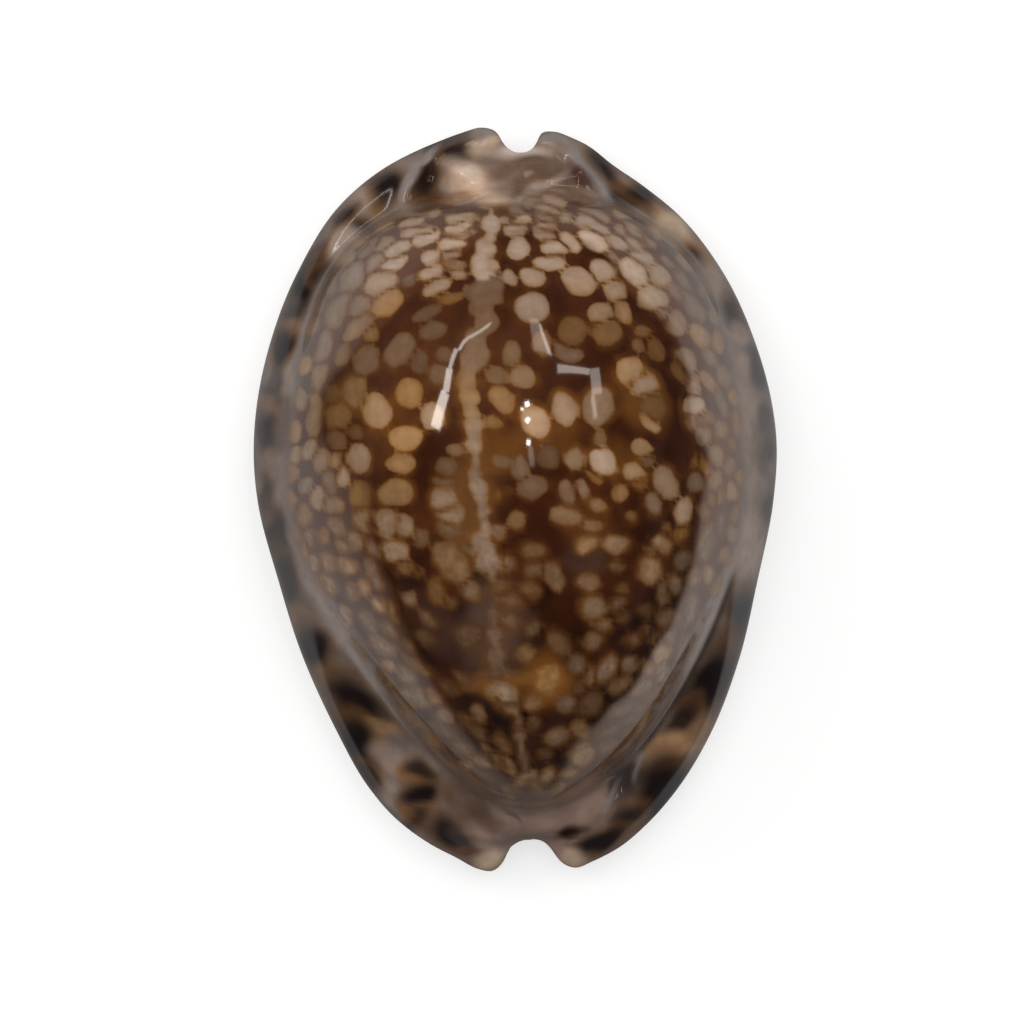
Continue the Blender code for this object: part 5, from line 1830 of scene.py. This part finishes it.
def floor_arrays():
    """Points of a round floor, the middle first and then rings, and its faces."""
    rings = np.concatenate((FLOOR_RINGS, np.linspace(*FLOOR_FINE, FLOOR_STEPS), FLOOR_FAR))
    turn = np.linspace(-math.pi, math.pi, FLOOR_TURNS, endpoint=False)
    x = np.append(0.0, np.outer(rings, np.cos(turn)))
    y = np.append(0.0, np.outer(rings, np.sin(turn)))
    index = 1 + np.arange(len(rings) * FLOOR_TURNS).reshape(len(rings), FLOOR_TURNS)
    wrapped = np.concatenate((index, index[:, :1]), axis=1)
    faces = [(0, a, b) for a, b in zip(wrapped[0, :-1].tolist(), wrapped[0, 1:].tolist())]
    faces += cells(wrapped)[:, ::-1].tolist()
    return np.stack((x, y, np.zeros(x.size)), axis=1), faces


def build_floor():
    """Round pale floor with the card's brightness stored at its points."""
    points, faces = floor_arrays()
    mesh = bpy.data.meshes.new("floor")
    mesh.from_pydata((points * MM).tolist(), [], faces)
    add_number(mesh, "card", card_glow(points[:, 0], points[:, 1]))
    floor = bpy.data.objects.new("floor", mesh)
    floor.location = (0.0, 0.0, -FLOOR_DROP * MM)
    bpy.context.scene.collection.objects.link(floor)
    floor.data.materials.append(floor_material())
    return floor


def floor_material():
    """White to the camera; to the gloss a white card in a dim room."""
    material = bpy.data.materials.new("floor")
    material.use_nodes = True
    material.node_tree.nodes.clear()
    n = Nodes(material.node_tree)
    path = n.add("ShaderNodeLightPath")
    diffuse = n.add("ShaderNodeBsdfDiffuse")
    colour = n.mix(path.outputs["Is Glossy Ray"], tone(FLOOR_TONE), tone((0.0, 0.0, 0.0)))
    n.put(diffuse.inputs["Color"], colour)
    seen = n.calc("MAXIMUM", path.outputs["Is Camera Ray"], path.outputs["Is Transmission Ray"])
    glossy = n.calc("MULTIPLY", path.outputs["Is Glossy Ray"], n.number("card"))
    glow = n.add("ShaderNodeEmission")
    n.put(glow.inputs["Strength"], n.line(seen, FLOOR_GLOW, glossy))
    total = n.add("ShaderNodeAddShader")
    n.put(total.inputs[0], diffuse.outputs[0])
    n.put(total.inputs[1], glow.outputs[0])
    out = n.add("ShaderNodeOutputMaterial")
    n.put(out.inputs["Surface"], total.outputs[0])
    return material


def build_world():
    """Plain studio room: pale behind the floor, dim above, so that the enamel stays deep."""
    world = bpy.data.worlds.new("room")
    bpy.context.scene.world = world
    world.use_nodes = True
    world.node_tree.nodes.clear()
    n = Nodes(world.node_tree)
    path = n.add("ShaderNodeLightPath")
    parts = n.add("ShaderNodeSeparateXYZ")
    n.put(parts.inputs[0], n.add("ShaderNodeTexCoord").outputs["Generated"])
    room = n.mix(n.span(parts.outputs["Z"], *ROOM_HEIGHTS), tone(ROOM_LOW), tone(ROOM_HIGH))
    background = n.add("ShaderNodeBackground")
    n.put(background.inputs["Color"], n.mix(path.outputs["Is Camera Ray"], room, tone(BACKDROP)))
    out = n.add("ShaderNodeOutputWorld")
    n.put(out.inputs["Surface"], background.outputs[0])


def add_lamp(name, centre, along, across, radiance, colour):
    """Flat lamp round a centre, with its two full sides given as vectors."""
    data = bpy.data.lights.new(name, "AREA")
    data.shape = "RECTANGLE"
    data.size = along.length
    data.size_y = across.length
    data.color = colour
    data.energy = radiance * math.pi * along.length * across.length
    lamp = bpy.data.objects.new(name, data)
    away = centre.normalized()
    x_axis = (along - away * along.dot(away)).normalized()
    y_axis = away.cross(x_axis)
    turned = Matrix((x_axis, y_axis, away)).transposed()
    lamp.rotation_euler = turned.to_euler()
    lamp.location = centre
    bpy.context.scene.collection.objects.link(lamp)
    return lamp


def add_mirrored_lamp(name, x0, y0, x1, y1, half, radiance):
    """Lamp whose reflection, seen from above, lies between two points of the dome."""
    length = math.hypot(x1 - x0, y1 - y0)
    side_x = -(y1 - y0) / length * half
    side_y = (x1 - x0) / length * half
    mid_x = 0.5 * (x0 + x1)
    mid_y = 0.5 * (y0 + y1)
    centre = mirror_direction(mid_x, mid_y) * LAMP_DISTANCE
    along = (mirror_direction(x1, y1) - mirror_direction(x0, y0)) * LAMP_DISTANCE
    across = mirror_direction(mid_x + side_x, mid_y + side_y)
    across = (across - mirror_direction(mid_x - side_x, mid_y - side_y)) * LAMP_DISTANCE
    add_lamp(name, centre, along, across, radiance, LAMP_TINT)


def build_lamps():
    for lamp in MIRRORED_LAMPS:
        add_mirrored_lamp(*lamp)
    centre = Vector(SOFTBOX_CENTRE) * MM
    soft = add_lamp(
        "softbox", centre, Vector(SOFTBOX_ALONG), Vector(SOFTBOX_ACROSS), SOFTBOX_RADIANCE, SOFTBOX_TINT
    )
    soft.visible_glossy = False


def build_camera():
    data = bpy.data.cameras.new("camera")
    camera = bpy.data.objects.new("camera", data)
    camera.location = (CAMERA_X * MM, CAMERA_Y * MM, CAMERA_HEIGHT * MM)
    data.sensor_width = SENSOR
    data.lens = SENSOR * (CAMERA_HEIGHT - OUTLINE_LEVEL) / FRAME_WIDTH
    data.clip_start = CLIP_START
    bpy.context.scene.collection.objects.link(camera)
    bpy.context.scene.camera = camera


build_shell()
build_floor()
build_world()
build_lamps()
build_camera()
bpy.context.scene.view_settings.view_transform = "Standard"
